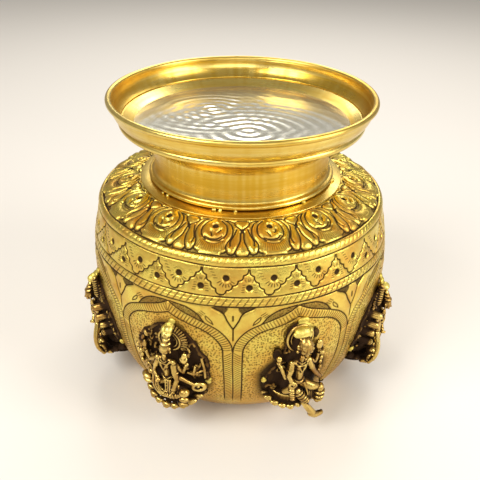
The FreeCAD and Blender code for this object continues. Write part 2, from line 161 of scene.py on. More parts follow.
class Tile:
    """One repeat of a chased pattern: raised height and darkness over across and along, in mm."""

    def __init__(self, width, low, high, pitch=0.2):
        self.width, self.low, self.high, self.pitch = width, low, high, pitch
        self.across, self.along = np.meshgrid(
            np.arange(-width / 2, width / 2 + pitch / 2, pitch), np.arange(low, high + pitch / 2, pitch))
        self.rise = np.zeros(self.across.shape)
        self.dark = np.zeros(self.across.shape)
        self.near = np.full(self.across.shape, 1e3)

    def distance(self, line):
        """Distance of every point of the tile from a polyline."""
        found = np.full(self.across.shape, 1e6)
        for (ax, ay), (bx, by) in zip(line[:-1], line[1:]):
            dx, dy = bx - ax, by - ay
            span = dx * dx + dy * dy + TINY
            t = np.clip(((self.across - ax) * dx + (self.along - ay) * dy) / span, 0, 1)
            gap = (self.across - ax - t * dx) ** 2 + (self.along - ay - t * dy) ** 2
            np.minimum(found, gap, out=found)
        return np.sqrt(found)

    def cut(self, points, wide=0.44, deep=0.5, dark=1.0, mirror=True, pillow=True, smooth=True):
        """A chased line through points, and its mirror image."""
        points = np.asarray(points, float)
        line = smooth_line(points) if smooth else points
        for side in ((1, -1) if mirror else (1,)):
            gap = self.distance(line * (side, 1))
            self.rise -= deep * np.exp(-(gap / wide) ** 2)
            self.dark = np.maximum(self.dark, dark * np.exp(-(gap / (wide * 0.98)) ** 4))
            if pillow:
                np.minimum(self.near, gap, out=self.near)

    def stroke(self, start, end, wide=0.35, deep=0.22, dark=0.75, mirror=True):
        """A short straight stroke, and its mirror image."""
        self.cut([start, end], wide, deep, dark, mirror, pillow=False, smooth=False)

    def punch(self, x, y, radius, rim=0.25, deep=1.3):
        """A round punched hole with a raised rim."""
        gap = np.hypot(self.across - x, self.along - y)
        self.rise -= deep * np.clip(1.25 - gap / radius, 0, 1) ** 0.6
        self.rise += rim * np.exp(-((gap - radius * 1.35) / (radius * 0.4)) ** 2)
        self.dark = np.maximum(self.dark, np.clip((1.12 - gap / radius) * 4, 0, 1))
        np.minimum(self.near, np.maximum(gap - radius, 0) + 1.0, out=self.near)

    def inside(self, outline):
        """True inside a closed polygon and its mirror image."""
        total = np.zeros(self.across.shape, bool)
        for side in (1, -1):
            hit = np.zeros(self.across.shape, bool)
            ring = np.asarray(outline, float) * (side, 1)
            for (ax, ay), (bx, by) in zip(ring, np.roll(ring, -1, axis=0)):
                crosses = (ay > self.along) != (by > self.along)
                reach = ax + (self.along - ay) * (bx - ax) / (by - ay + TINY)
                hit ^= crosses & (self.across < reach)
            total |= hit
        return total

    def tint(self, where, dark):
        """Darkens an area to at least a level."""
        self.dark = np.where(where, np.maximum(self.dark, dark), self.dark)

    def pillow(self, rise, reach, where=True):
        """Raises the metal between chased lines into soft cushions."""
        self.rise += np.where(where, rise * (1 - np.exp(-self.near / reach)), 0)

    def stipple(self, where, seed, pitch, deep, dark, ground=0.0):
        """A punched ground of small dots inside an area."""
        draw = np.random.default_rng(seed)
        rows = int((self.high - self.low) / pitch) + 1
        columns = int(self.width / pitch) + 1
        x, y = np.meshgrid(np.linspace(-self.width / 2, self.width / 2, columns),
                           np.linspace(self.low, self.high, rows))
        x = x + draw.uniform(-0.4, 0.4, x.shape) * pitch
        y = y + draw.uniform(-0.4, 0.4, y.shape) * pitch
        reach = int(pitch / self.pitch) + 1
        self.tint(where, ground)
        for cx, cy, size in zip(x.ravel(), y.ravel(), draw.uniform(0.30, 0.58, x.size)):
            i = int(round((cy - self.low) / self.pitch))
            j = int(round((cx + self.width / 2) / self.pitch))
            if not (0 <= i < where.shape[0] and 0 <= j < where.shape[1]) or not where[i, j]:
                continue
            cells = slice(max(i - reach, 0), i + reach + 1), slice(max(j - reach, 0), j + reach + 1)
            gap = np.hypot(self.across[cells] - cx, self.along[cells] - cy)
            dot = np.exp(-(gap / size) ** 2)
            self.rise[cells] -= deep * dot
            self.dark[cells] = np.maximum(self.dark[cells], dark * dot)

    def read(self, across, along):
        """Rise and darkness at places of the tile, across in parts of the repeat from -0.5 to 0.5."""
        x = np.clip((across + 0.5) * (self.across.shape[1] - 1), 0, self.across.shape[1] - 1.001)
        y = np.clip((along - self.low) / self.pitch, 0, self.across.shape[0] - 1.001)
        i, j = y.astype(int), x.astype(int)
        fy, fx = y - i, x - j
        out = []
        for field in (self.rise, self.dark):
            low = field[i, j] * (1 - fx) + field[i, j + 1] * fx
            high = field[i + 1, j] * (1 - fx) + field[i + 1, j + 1] * fx
            out.append(low * (1 - fy) + high * fy)
        return out

    def band(self, across, along):
        """The same, but level and clean past the two ends of the tile."""
        within = (along > self.low) & (along < self.high)
        return [np.where(within, field, 0) for field in self.read(across, along)]


def panel_tile():
    """One of the eight panels of the belly, from divider to divider: across is from its middle."""
    degree = 1.72                       # width of one degree round the belly

    def in_degrees(points):
        return [(x * degree, y) for x, y in points]

    half = 180 / PANELS * degree
    tile = Tile(2 * half, 0, PANEL_TOP)
    inner = in_degrees([(0, 90.5), (3.5, 87.8), (8, 85.4), (12, 83.2), (15, 80.0), (17.6, 75.0),
                        (19, 69.5), (19.2, 62), (19.2, 40), (19.2, PANEL_FOOT)])
    outer = in_degrees([(0, 98.0), (4, 94.2), (9, 91.0), (13, 88.2), (17, 84.6), (20, 79.5),
                        (21.9, 73.5), (22.45, 68)])
    inner_line, outer_line = smooth_line(inner), smooth_line(outer)
    ground = tile.inside(np.concatenate([[(0, PANEL_FOOT)], inner[:1], inner_line[1:]]))
    tile.stipple(ground, 11, pitch=1.6, deep=0.34, dark=0.9)
    tile.cut(inner, 0.46, 0.5)
    tile.cut(outer, 0.46, 0.5)
    tile.cut([(half, 68), (half, PANEL_FOOT)], 0.46, 0.5, smooth=False)
    # hatching along the border, between its two lines
    for x, y in spaced(outer_line, 1.9)[1:-1]:
        gap = np.linalg.norm(inner_line - (x, y), axis=1)
        near = inner_line[gap.argmin()]
        lean = np.array([0.9, 0.0]) * min(1.0, x / (10 * degree))
        tile.stroke(np.array([x, y]) * 0.84 + near * 0.16, np.array([x, y]) * 0.2 + near * 0.8 - lean)
    for y in np.arange(17, 66, 1.9):
        tile.stroke((19.75 * degree, y), (21.9 * degree, y + 2.6))
    # spandrel: stem, V of three leaves, their eyes, and the dark grounds
    tile.cut([(half, 77), (half, 85)], 0.5, 0.6, smooth=False)
    tile.cut([(half, 85), (half - 3.2, 90.5), (half - 5.8, 95.6), (half - 12, 99.2)], 0.52, 0.6)
    dark_wedge = [(half - 5.2, 95.4), (half - 13.5, 99.6), (half - 2.6, 100.4), (half - 3.2, 98.2)]
    leaf_back = in_degrees([(12.6, 88.9), (10.5, 93.5), (7, 96.9), (3.4, 97.9)])
    lens = np.concatenate([outer_line[(outer_line[:, 0] > 1.5) & (outer_line[:, 0] < 12.3 * degree)],
                           smooth_line(leaf_back + [(1.5, 97.6)])])
    tile.cut(leaf_back + [(1.2, 98.3)], 0.44, 0.5)
    for area, seed, darkness in ((dark_wedge, 21, 0.7), (lens, 22, 0.5)):
        tile.stipple(tile.inside(area), seed, pitch=1.2, deep=0.3, dark=0.95, ground=darkness)
    eye = [(half - 11.5, 88.0), (half - 12.6, 90.6), (half - 15.8, 93.6), (half - 15.2, 90.8)]
    tile.cut(eye + eye[:1], 0.4, 0.4, 0.85, pillow=False)
    for k in range(4):
        tile.stroke((half - 16 - k, 94.8 - 0.9 * k), (half - 18.6 - k, 96.6 - 0.9 * k))
    tile.cut([(half, 91.2), (half, 94.2)], 0.6, 0.5, 0.9, pillow=False, smooth=False)
    border = tile.inside(np.concatenate([outer_line, [(half, PANEL_TOP), (0, PANEL_TOP)]]))
    tile.pillow(0.55, 2.2, border)
    tile.pillow(0.35, 1.6, ~border & ~ground)
    return tile


def zigzag_tile():
    """One repeat of the belt of scalloped triangles: a valley in the middle of the tile."""
    width = CIRCLE * BELLY_RADIUS / ZIGZAGS
    high = ZIGZAG_LENGTH
    tile = Tile(width, 0, high)
    foot, peak = np.array((-0.10 * width, 0.4)), (0.5 * width, high - 2.2)
    for side, scallops in ((-1, 4), (1, 5)):
        t = np.linspace(0, 1, 60)[:, None]
        span = np.array((side * peak[0], peak[1])) - foot
        step = span / np.linalg.norm(span)
        outwards = np.array([step[1], -step[0]]) * side
        bulge = (1 - t) * t * (2.6 + side)
        scallop = np.abs(np.sin(math.pi * scallops * t)) * 1.1 + bulge - 0.5
        tile.cut(foot + span * t + outwards * scallop, 0.5, 0.6, mirror=False, smooth=False)
    centre = np.array([0.4, high * 0.60])
    tile.punch(*centre, 2.0)
    for x in (-0.5, 0.5):
        tile.punch(x * width, high * 0.30, 1.95)
    for turn in np.radians(np.arange(-150, -29, 20)):
        way = np.array([math.cos(turn), math.sin(turn)])
        tile.stroke(centre + way * 3.6, centre + way * 5.6, mirror=False, dark=0.85)
    for k in range(4):
        y = high - 2.4 - 1.7 * k
        tile.stroke((-width * 0.34 + 0.9 * k, y), (-width * 0.27 + 0.9 * k, y), mirror=False)
    for side in (-1, 1):
        centre = np.array([side * 0.5 * width, high * 0.30])
        for k in range(4):
            tile.stroke(centre + (-side * (4.6 - 0.3 * k), -2.6 + 1.5 * k),
                        centre + (-side * (2.9 - 0.2 * k), -2.4 + 1.5 * k), mirror=False)
        for turn in np.radians((75, 95, 115) if side > 0 else (105, 85, 65)):
            way = np.array([math.cos(turn), math.sin(turn)])
            tile.stroke(centre + way * 4.2, centre + way * 5.8, mirror=False)
    tile.pillow(0.5, 2.4)
    return tile


def leaf_tile():
    """One repeat of the shoulder's leaves: along runs from the collar outwards."""
    width = CIRCLE * LEAF_RADIUS / LEAVES
    tile = Tile(width, 0, LEAF_LENGTH, 0.16)
    half = width / 2
    curl = (half - 5.0, 2.6)
    edges = (
        [(3.2, 1.2), (6.6, 4.4), (7.9, 9.2), (6.9, 13.4), (3.6, 16.4)],
        [(5.4, 0.8), (9.4, 3.6), (11.2, 8.4), (10.9, 13.2), (8.9, 17.6), (8.3, 20.6), (8.8, 23.2)],
        [(half - 0.9, 10.4), (half - 1.1, 16.0), (half - 2.6, 21.4), (half - 3.7, 24.2)],
        [(half - 3.4, 7.8), (half - 4.6, 12.0), (half - 6.4, 16.8), (half - 6.2, 20.5)],
    )
    for edge in edges:
        tile.cut(edge, 0.46, 0.62)
    tile.cut([curl, (half - 3.3, 1.2), (half, 0.7)], 0.46, 0.6)
    tile.cut([curl, (half - 3.8, 5.0), (half, 8.2)], 0.46, 0.6)
    tile.cut([(half - 5.0, 2.4), (half - 8.4, 1.2), (half - 12.0, 0.4)], 0.4, 0.45)
    # the lip below the hole, the line under it, and a curl at each side of the hole
    for line, wide, deep, dark, pillow in (
            ([(-4.6, 14.6), (-1.6, 15.6), (2.6, 15.4), (5.2, 13.4)], 0.5, 0.6, 1.0, True),
            ([(-2.2, 16.3), (0.8, 16.9), (4.4, 16.2)], 0.75, 0.5, 0.72, False),
            ([(-5.2, 16.6), (-1.5, 18.3), (2.8, 18.4), (6.0, 16.4)], 0.4, 0.4, 0.7, True),
            ([(-2.0, 10.6), (-1.2, 12.0), (-0.7, 13.6)], 0.42, 0.5, 1.0, True),
            ([(3.9, 8.6), (3.2, 10.0), (2.1, 11.2)], 0.42, 0.5, 1.0, True)):
        tile.cut(line, wide, deep, dark, mirror=False, pillow=pillow)
    tile.punch(0.2, 6.3, 1.9, rim=0.35)
    for x in np.linspace(-7.4, 7.4, 14):
        start = 18.9 - 0.028 * x * x
        tile.stroke((x * 0.84, start), (x * 1.06, start + 4.9), 0.3, 0.3, 0.5, mirror=False)
    tile.tint(tile.inside([(half - 1.9, 7.4), (half, 8.1), (half + 1, 11.2), (half - 0.7, 11.2)]), 0.92)
    # petal tips and the dark ground between them and the rope
    tips = smooth_line([(0, 25.2), (4, 25.1), (7.6, 24.4), (8.8, 23.2), (9.6, 24.8), (11.2, 25.4),
                        (12.6, 24.9), (half - 3.7, 24.0), (half - 2.8, 25.8), (half - 1.2, 26.5),
                        (half, 26.6)])
    ground = tile.inside(np.concatenate([tips, [(half, LEAF_LENGTH + 1), (0, LEAF_LENGTH + 1)]]))
    ground &= np.abs(tile.across) > 5.5
    tile.cut(tips[tips[:, 0] > 6.5], 0.42, 0.5, smooth=False)
    swell = np.exp(-((tile.along - 21.3) / 3.0) ** 2) * np.clip((np.abs(tile.across) - 7.0) / 2, 0, 1)
    tile.pillow(1.25, 1.9)
    tile.rise += 0.75 * swell
    tile.rise = np.where(ground, -0.7, tile.rise)
    tile.stipple(ground, 12, pitch=1.05, deep=0.25, dark=0.95, ground=0.58)
    return tile


def rope(theta, along, low, high, rise, dark, lean=1.0):
    """A band of slanted strokes between two heights, as rise and darkness."""
    t = np.clip((along - low) / (high - low), 0, 1)
    within = (along > low) & (along < high)
    phase = (theta * ROPE_STROKES / CIRCLE - t * lean) % 1.0
    stroke = np.exp(-((phase - 0.5) / 0.13) ** 2) * np.clip(t * 5, 0, 1) * np.clip((1 - t) * 5, 0, 1)
    swell = rise * np.sqrt(np.clip(1 - (2 * t - 1) ** 2, 0, 1))
    return np.where(within, swell - 0.24 * stroke, 0), np.where(within, dark * stroke, 0)


def lower_rope(theta, height):
    """The rope band over the seam, half of it on each shell."""
    return rope(theta, height, *ROPE_LOWER, 0.6, 0.75)


def ring_cut(gap, wide=0.5):
    """A line turned round the pot, from the distance to it."""
    share = np.abs(gap) / wide
    return -0.5 * np.exp(-share ** 2), np.exp(-share ** 4)


# ---------------------------------------------------------------- meshes

def make_object(name, vertices, faces, fields, material):
    """A mesh object in metres from points in millimetres and arrays of faces.

    fields are each point's darkness and warmth, or None; both hold tarnish and painted shade.
    They go into red and blue of a colour attribute.
    """
    mesh = bpy.data.meshes.new(name)
    vertices = np.asarray(vertices, np.float32) * MM
    mesh.vertices.add(len(vertices))
    mesh.vertices.foreach_set("co", vertices.ravel())
    sizes = np.concatenate([np.full(len(group), group.shape[1]) for group in faces])
    corners = np.concatenate([group.ravel() for group in faces]).astype(np.int32)
    mesh.loops.add(len(corners))
    mesh.loops.foreach_set("vertex_index", corners)
    mesh.polygons.add(len(sizes))
    mesh.polygons.foreach_set("loop_start", np.concatenate([[0], np.cumsum(sizes)[:-1]]).astype(np.int32))
    mesh.polygons.foreach_set("use_smooth", np.ones(len(sizes), bool))
    mesh.update(calc_edges=True)
    mesh.validate()
    if fields is not None:
        data = np.ones((len(vertices), 4), np.float32)
        data[:, [0, 2]] = np.clip(np.stack(fields, 1), 0, 1)
        mesh.attributes.new("patina_and_shade", "FLOAT_COLOR", "POINT").data.foreach_set("color", data.ravel())
    piece = bpy.data.objects.new(name, mesh)
    bpy.context.scene.collection.objects.link(piece)
    mesh.materials.append(material)
    return piece


def ring_quads(rings, count, closed=False):
    """Quads that join rings of count points, and the last ring to the first if closed."""
    i, j = np.meshgrid(np.arange(rings if closed else rings - 1), np.arange(count), indexing="ij")
    after_i, after_j = (i + 1) % rings, (j + 1) % count
    return np.stack([i * count + j, i * count + after_j, after_i * count + after_j,
                     after_i * count + j], -1).reshape(-1, 4)


def unit_rows(vectors):
    """Each row of an array, at length one."""
    return vectors / (np.linalg.norm(vectors, axis=1, keepdims=True) + TINY)


def turned(name, section, material, columns, relief, cap=False):
    """A lathe mesh from a section of (radius, height) points.

    relief(theta, section) gives rise, darkness and warmth for every point. The section runs so
    that the outside is on its right. It is a closed loop unless cap, when both ends are capped.
    """
    steps = np.roll(section, -1, axis=0) - np.roll(section, 1, axis=0)
    if cap:
        steps[0], steps[-1] = section[1] - section[0], section[-1] - section[-2]
    normals = unit_rows(np.stack([steps[:, 1], -steps[:, 0]], 1))
    theta = np.linspace(0, CIRCLE, columns, endpoint=False)
    rise, dark, warm = relief(theta[None, :], section)
    radius = section[:, :1] + normals[:, :1] * rise
    height = section[:, 1:] + normals[:, 1:] * rise
    vertices = np.stack([radius * np.sin(theta), -radius * np.cos(theta), height], -1).reshape(-1, 3)
    faces = [ring_quads(len(section), columns, closed=not cap)]
    if cap:
        around = np.arange(columns)[None, :]
        faces += [around[:, ::-1], (len(section) - 1) * columns + around]
    return make_object(name, vertices, faces, (dark.ravel(), warm.ravel()), material)


def circles_cross(first, first_radius, second, second_radius):
    """The outer of the two points where two circles of the section cross."""
    span = np.subtract(second, first)
    gap = np.hypot(*span)
    near = (gap ** 2 + first_radius ** 2 - second_radius ** 2) / (2 * gap)
    side = math.sqrt(first_radius ** 2 - near ** 2)
    foot = np.add(first, span / gap * near)
    across = np.array([span[1], -span[0]]) / gap * side
    return max((foot + across, foot - across), key=lambda point: point[0])


def direction(centre, point):
    """The direction from a centre to a point of the section, in degrees."""
    return math.degrees(math.atan2(point[1] - centre[1], point[0] - centre[0]))


def at_height(centre, radius, height):
    """The direction in degrees of the point of an arc at a height."""
    return math.degrees(math.asin((height - centre[1]) / radius))


# ---------------------------------------------------------------- the belly and shoulder shells

BASE_CENTRE = (BELLY_CENTRE[0] + math.sqrt((BELLY_CURVE - BASE_CORNER) ** 2
                                           - (BELLY_CENTRE[1] - BASE_CORNER) ** 2), BASE_CORNER)
DOME_CENTRE = (DOME_REACH, LAND - math.sqrt(DOME_CURVE ** 2 - (LAND_RADIUS - DOME_REACH) ** 2))
TURN_CENTRE = circles_cross(BELLY_CENTRE, BELLY_CURVE - SHOULDER_CORNER,
                            DOME_CENTRE, DOME_CURVE - SHOULDER_CORNER)


def lower_path(inset):
    """The belly's section from the flat base up to the seam, set in from the outside."""
    heel = direction(BELLY_CENTRE, BASE_CENTRE)
    corner = arc(BASE_CENTRE, BASE_CORNER - inset, -90, heel)
    side = arc(BELLY_CENTRE, BELLY_CURVE - inset, heel, at_height(BELLY_CENTRE, BELLY_CURVE - inset, SEAM))
    return joined([(BASE_FLAT, inset)], corner, side)


def shoulder_path(inset):
    """The shoulder's section from the seam up to the hole, set in from the outside."""
    start = at_height(BELLY_CENTRE, BELLY_CURVE - inset, SEAM)
    low, high = direction(BELLY_CENTRE, TURN_CENTRE), direction(DOME_CENTRE, TURN_CENTRE)
    side = arc(BELLY_CENTRE, BELLY_CURVE - inset, start, low)
    corner = arc(TURN_CENTRE, SHOULDER_CORNER - inset, low, high)
    crown = arc(DOME_CENTRE, DOME_CURVE - inset, high,
                at_height(DOME_CENTRE, DOME_CURVE - inset, LAND - inset))
    return joined(side, corner, crown, [(HOLE_RADIUS, LAND - inset)])


def outside_only(relief, count):
    """Keeps a relief to the first rows of a section, which are its outside."""
    def held(theta, section):
        fields = np.zeros((3, len(section), theta.shape[1]))
        fields[:, :count] = relief(theta, section[:count])
        return fields
    return held


def hammered(theta, height):
    """The slight unevenness of hand-beaten sheet."""
    return noise(theta, height, 5, 9, 0.13)


def wobble(theta, height):
    """How far hand-chased lines stray up and down."""
    return noise(theta, height, 1, 6, 0.22)


def phase(theta, height, turn, count, seed, waves, sway):
    """Place in a pattern that repeats round the pot, from -0.5 to 0.5, as uneven as handwork."""
    return ((theta - turn) * count / CIRCLE + noise(theta, height, seed, waves, sway)) % 1.0 - 0.5


def figure_shade_and_tint(theta, height):
    """Painted shade close behind the castings, and a coppery tint further round them."""
    turns = (theta - TURN) * PANELS / CIRCLE
    place = (turns % 1.0 - 0.5) * CIRCLE / PANELS * BELLY_RADIUS
    ragged = noise(theta, height, 9, 9, 1.3) + noise(theta * 3, height * 3, 10, 9, 0.8)
    design = np.floor(turns) % 4
    leg_down, crossed = design == 0, design == 3
    half_width, widest_to = 25, 48
    narrowing = np.where(leg_down, 0.62, 0.30)
    across = place / (half_width - np.clip(height - widest_to, 0, 40) * narrowing)
    up = (height - np.where(crossed, 49, 45)) / np.where(leg_down, 32, 35)
    reach = np.sqrt(across ** 2 + up ** 2) * half_width + ragged
    return [np.clip((edge - reach) / fade, 0, 1) * 0.9 for edge, fade in ((28.5, 8), (37, 13))]


PANEL_TILE = panel_tile()
LEAF_TILE = leaf_tile()
ZIGZAG_TILE = zigzag_tile()


def belly_relief(theta, section):
    """Chased panels under the lower rope band, with painted shade behind the figures and towards the base."""
    height = section[:, 1:]
    stray = wobble(theta, height)
    across = phase(theta, height, TURN, PANELS, 2, 6, 0.0018)
    rise, dark = PANEL_TILE.read(across, np.clip(height + stray, 0, PANEL_TOP - 0.1))
    fade = (np.clip((height - PANEL_FOOT) / 7, 0, 1)
            * np.clip((ROPE_LOWER[0] + 0.4 - height) / 0.5, 0, 1))
    rope_rise, rope_dark = lower_rope(theta, height + stray * 0.5)
    edge_rise, edge_dark = ring_cut(height + stray * 0.5 - ROPE_LOWER[0])
    # painted shade close behind the figures, and a coppery tint further round them
    shade_behind_figures, glow = figure_shade_and_tint(theta, height)
    dark = np.maximum(dark * fade, shade_behind_figures)
    # coppery and darker towards the base: the metal's own tone and painted shade under the belly together
    warm = np.clip(1.1 - height / 42, 0, 1) * 0.8 + 0.5 * dark + glow
    return (rise * fade + rope_rise + edge_rise + hammered(theta, height),
            np.maximum.reduce([dark, rope_dark, edge_dark]), warm)


def shoulder_relief(theta, section):
    """Rope, triangles, rope and leaves from the seam up to the collar."""
    along = path_length(section)[:, None]
    crown_end = np.interp(LAND_RADIUS, section[::-1, 0], along[::-1, 0])
    height = section[:, 1:]
    stray = wobble(theta, height)
    from_collar = crown_end - along + stray
    from_leaves = from_collar - LEAF_LENGTH
    belt_end = crown_end - LEAF_LENGTH - ROPE_WIDTH
    belt_start = along[np.searchsorted(section[:, 1], ROPE_LOWER[1]), 0]
    on_belt = (along + stray - belt_start) / (belt_end - belt_start) * ZIGZAG_LENGTH
    leaf_phase = phase(theta, height, LEAF_TURN, LEAVES, 3, 5, 0.006)
    zigzag_phase = phase(theta, height, ZIGZAG_TURN, ZIGZAGS, 6, 5, 0.004)
    bands = (
        LEAF_TILE.band(leaf_phase, from_collar),
        rope(theta, from_leaves, 0.2, ROPE_WIDTH - 0.2, 1.25, 0.22, -1.0),
        ZIGZAG_TILE.band((zigzag_phase + 1.0) % 1.0 - 0.5, on_belt),
        lower_rope(theta, height + stray * 0.5),
    )
    rise = sum(band[0] for band in bands)
    dark = np.maximum.reduce([band[1] for band in bands])
    for gap in (from_leaves, from_leaves - ROPE_WIDTH, height + stray * 0.5 - ROPE_LOWER[1]):
        cut_rise, cut_dark = ring_cut(gap, 0.45)
        rise, dark = rise + cut_rise, np.maximum(dark, cut_dark)
    fade = np.clip((section[:, :1] - LAND_RADIUS) / 0.8, 0, 1)
    return rise * fade + hammered(theta, height) * fade, dark * fade, 0.35 * dark


# ---------------------------------------------------------------- turned pieces

def slope(first, last, offset):
    """The direction in degrees of a line past one point at an offset, and on to another."""
    span = np.subtract(last, first)
    return math.degrees(math.atan2(span[1], span[0]) - math.asin(offset / np.hypot(*span)))


def mouth_section():
    """Spigot, foot bead, neck and dish as a closed loop."""
    flare, flare_curve, wall = (65.6, 161.0), 9.0, 2.0
    roll, roll_curve = (75.6, 178.0), 2.2
    rise = slope(flare, roll, flare_curve + roll_curve)
    inner_rise = slope(flare, (75.05, 179.8), flare_curve + wall)
    bead = arc((59.0, 142.4), 1.4, -90, 90, 0.15)
    neck = arc(flare, flare_curve, 180, rise + 90, 0.4)
    edge = arc(roll, roll_curve, rise - 90, math.degrees(math.asin(1.8 / roll_curve)), 0.15)
    back = arc(flare, flare_curve + wall, inner_rise + 90, 180, 0.4)
    return joined([(57.0, 132.0), (57.0, 141.0)], bead, [(57.6, 143.9), (57.25, 144.8), (56.8, 147)],
                  spaced(np.array([(56.8, 147.2), (56.6, 160.8)]), 0.6), neck, edge,
                  [(75.0, 179.75)], spaced(np.array([(74.6, 179.5), back[0]]), 0.6), back,
                  spaced(np.array([(54.6, 160.5), (54.8, 132.2)]), 0.8), [(55.0, 132.0)])


def through(first, last, radius, bulge=1):
    """An arc of a radius between two points, bulging to the left or right of the way."""
    first, last = np.asarray(first, float), np.asarray(last, float)
    span = last - first
    gap = np.hypot(*span)
    side = np.array([span[1], -span[0]]) / gap
    centre = (first + last) / 2 - side * bulge * math.sqrt(radius ** 2 - (gap / 2) ** 2)
    start, end = direction(centre, first), direction(centre, last)
    if end - start > 180:
        end -= 360
    if start - end > 180:
        end += 360
    return arc(centre, radius, start, end, 0.3)


def rim_section():
    """The flared ring: seam, cavetto outside, rolled lip, cavetto inside, ridge."""
    lip, size = (82.6, 191.8), 1.9

    def under_lip(across):
        return lip[0] - across, lip[1] - math.sqrt(size ** 2 - across ** 2)

    outside, inside = under_lip(size / 3), under_lip(size * 0.9)
    return joined([(75.4, 179.8), (77.4, 179.8)], through((77.4, 180.0), outside, 16),
                  arc(lip, size, direction(lip, outside), direction(lip, inside) + 360, 0.2),
                  through(inside, (75.4, 180.5), 14, -1))


def collar_section():
    """The smooth ring on the land, crowned on top."""
    return joined([(57.3, 138.6), (66.0, 138.6), (66.0, 139.35)],
                  through((65.9, 139.5), (57.5, 140.6), 33.0), [(57.3, 140.4)])


def turned_relief(seed, tint_and_shade):
    """The faint unevenness of turned and polished sheet, and its amber tint, which is painted shade
    with random streaks through it.

    The function passed in gives how amber each place is from theta, radius and height.
    """
    def relief(theta, section):
        radius, height = section[:, :1], section[:, 1:]
        flat = noise(theta, height, seed, 8, 0.05)
        streaks = noise(theta * 7, height * 0.25, seed + 1, 9, 0.16)
        return flat, np.zeros_like(flat), np.clip(tint_and_shade(theta, radius, height) + streaks, 0, 1)
    return relief


def neck_painted_shade(theta, radius, height):
    """Painted shade and reflection in amber on the neck, most at the left and under the dish; lemon on the
    dish outside.
    """
    side = 0.5 - 0.42 * np.sin(theta)
    neck = np.clip((167 - height) / 8, 0, 1) * np.clip((height - 144) / 3, 0.35, 1)
    inside = np.clip((height - 150) / 25, 0, 1) * 0.25
    return np.where(radius > 55.6, neck * (0.65 + 0.5 * side), 0.72 + inside * np.sin(theta))


def rim_painted_shade(theta, radius, height):
    """Painted shade in amber in the inside cavetto, most at the right; lemon on the lip and outside."""
    inner = np.clip((190.5 - height) / 3, 0, 1) * (radius < 81.2 - (190.5 - height) * 0.32)
    return np.clip(inner * (0.74 + 0.34 * np.sin(theta)), 0, 1)


def collar_painted_shade(theta, radius, height):
    """Painted shade in amber close to the neck, under the dish."""
    return np.clip((62.5 - radius) / 4, 0, 1) * 0.6


# ---------------------------------------------------------------- finishes

def brass(name, clean, warm, aged_and_shaded, rough, bump, streak=False):
    """Old polished brass: dark in the chased lines and where shade is painted, coppery and duller in
    patches and where a coppery tint or painted shade is given.
    """
    material = bpy.data.materials.new(name)
    material.use_nodes = True
    nodes, links = material.node_tree.nodes, material.node_tree.links
    shader = nodes["Principled BSDF"]
    shader.inputs["Metallic"].default_value = 1.0
    shader.inputs["Specular IOR Level"].default_value = 0.15

    def node(kind, **values):
        made = nodes.new(kind)
        for key, value in values.items():
            made.inputs[key].default_value = value
        return made

    place = node("ShaderNodeTexCoord")
    patina_and_shade = node("ShaderNodeAttribute")
    patina_and_shade.attribute_name = "patina_and_shade"
    split = node("ShaderNodeSeparateColor")
    links.new(patina_and_shade.outputs["Color"], split.inputs["Color"])
    dark, tint_and_shade = split.outputs["Red"], split.outputs["Blue"]
    mapping = node("ShaderNodeMapping", Scale=(0.12, 0.12, 2.2) if streak else (1, 1, 1))
    spots = node("ShaderNodeTexNoise", Scale=70.0, Detail=5.0, Roughness=0.6)
    fine = node("ShaderNodeTexNoise", Scale=900.0, Detail=3.0, Roughness=0.6)
    links.new(place.outputs["Object"], mapping.inputs["Vector"])
    for texture in (spots, fine):
        links.new(mapping.outputs["Vector"], texture.inputs["Vector"])

    def mix(kind, *values):
        made = nodes.new("ShaderNodeMix")
        made.data_type = kind
        slots, result = {"FLOAT": ((0, 2, 3), 0), "RGBA": ((0, 6, 7), 2)}[kind]
        for slot, value in zip(slots, values):
            if isinstance(value, bpy.types.NodeSocket):
                links.new(value, made.inputs[slot])
            else:
                made.inputs[slot].default_value = value
        return made.outputs[result]

    def ramp(value, low, high, out_low=0.0, out_high=1.0):
        made = nodes.new("ShaderNodeMapRange")
        limits = {"From Min": low, "From Max": high, "To Min": out_low, "To Max": out_high}
        for key, number in limits.items():
            made.inputs[key].default_value = number
        links.new(value, made.inputs["Value"])
        return made.outputs["Result"]

    patch = ramp(spots.outputs["Fac"], 0.36, 0.68)
    colour = mix("RGBA", patch, (*clean, 1), (*warm, 1))
    # the attribute's blue gives a coppery tint, much of it painted shade; its red gives the dark of chased
    # lines and hollows, and painted shade
    colour = mix("RGBA", ramp(tint_and_shade, 0, 1, 0, 0.85), colour, (*warm, 1))
    colour = mix("RGBA", ramp(dark, 0.12, 0.8), colour, (*aged_and_shaded, 1))
    links.new(colour, shader.inputs["Base Color"])
    links.new(ramp(dark, 0.4, 1.0, 1.0, 0.35), shader.inputs["Metallic"])
    polish = ramp(patch, 0, 1, rough * 0.8, rough * 1.35)
    links.new(mix("FLOAT", ramp(dark, 0.1, 0.8), polish, 0.75), shader.inputs["Roughness"])
    bumped = node("ShaderNodeBump", Strength=bump, Distance=0.0004)
    links.new(fine.outputs["Fac"], bumped.inputs["Height"])
    links.new(bumped.outputs["Normal"], shader.inputs["Normal"])
    return material


LEMON = (0.77, 0.62, 0.125)
AMBER = (0.84, 0.69, 0.23)
# the dark of old brass: tarnish in chased lines and hollows, and painted shade; the third colour of each
# finish below is its dark in the same way
DARK_PATINA_AND_SHADE = (0.050, 0.028, 0.009)

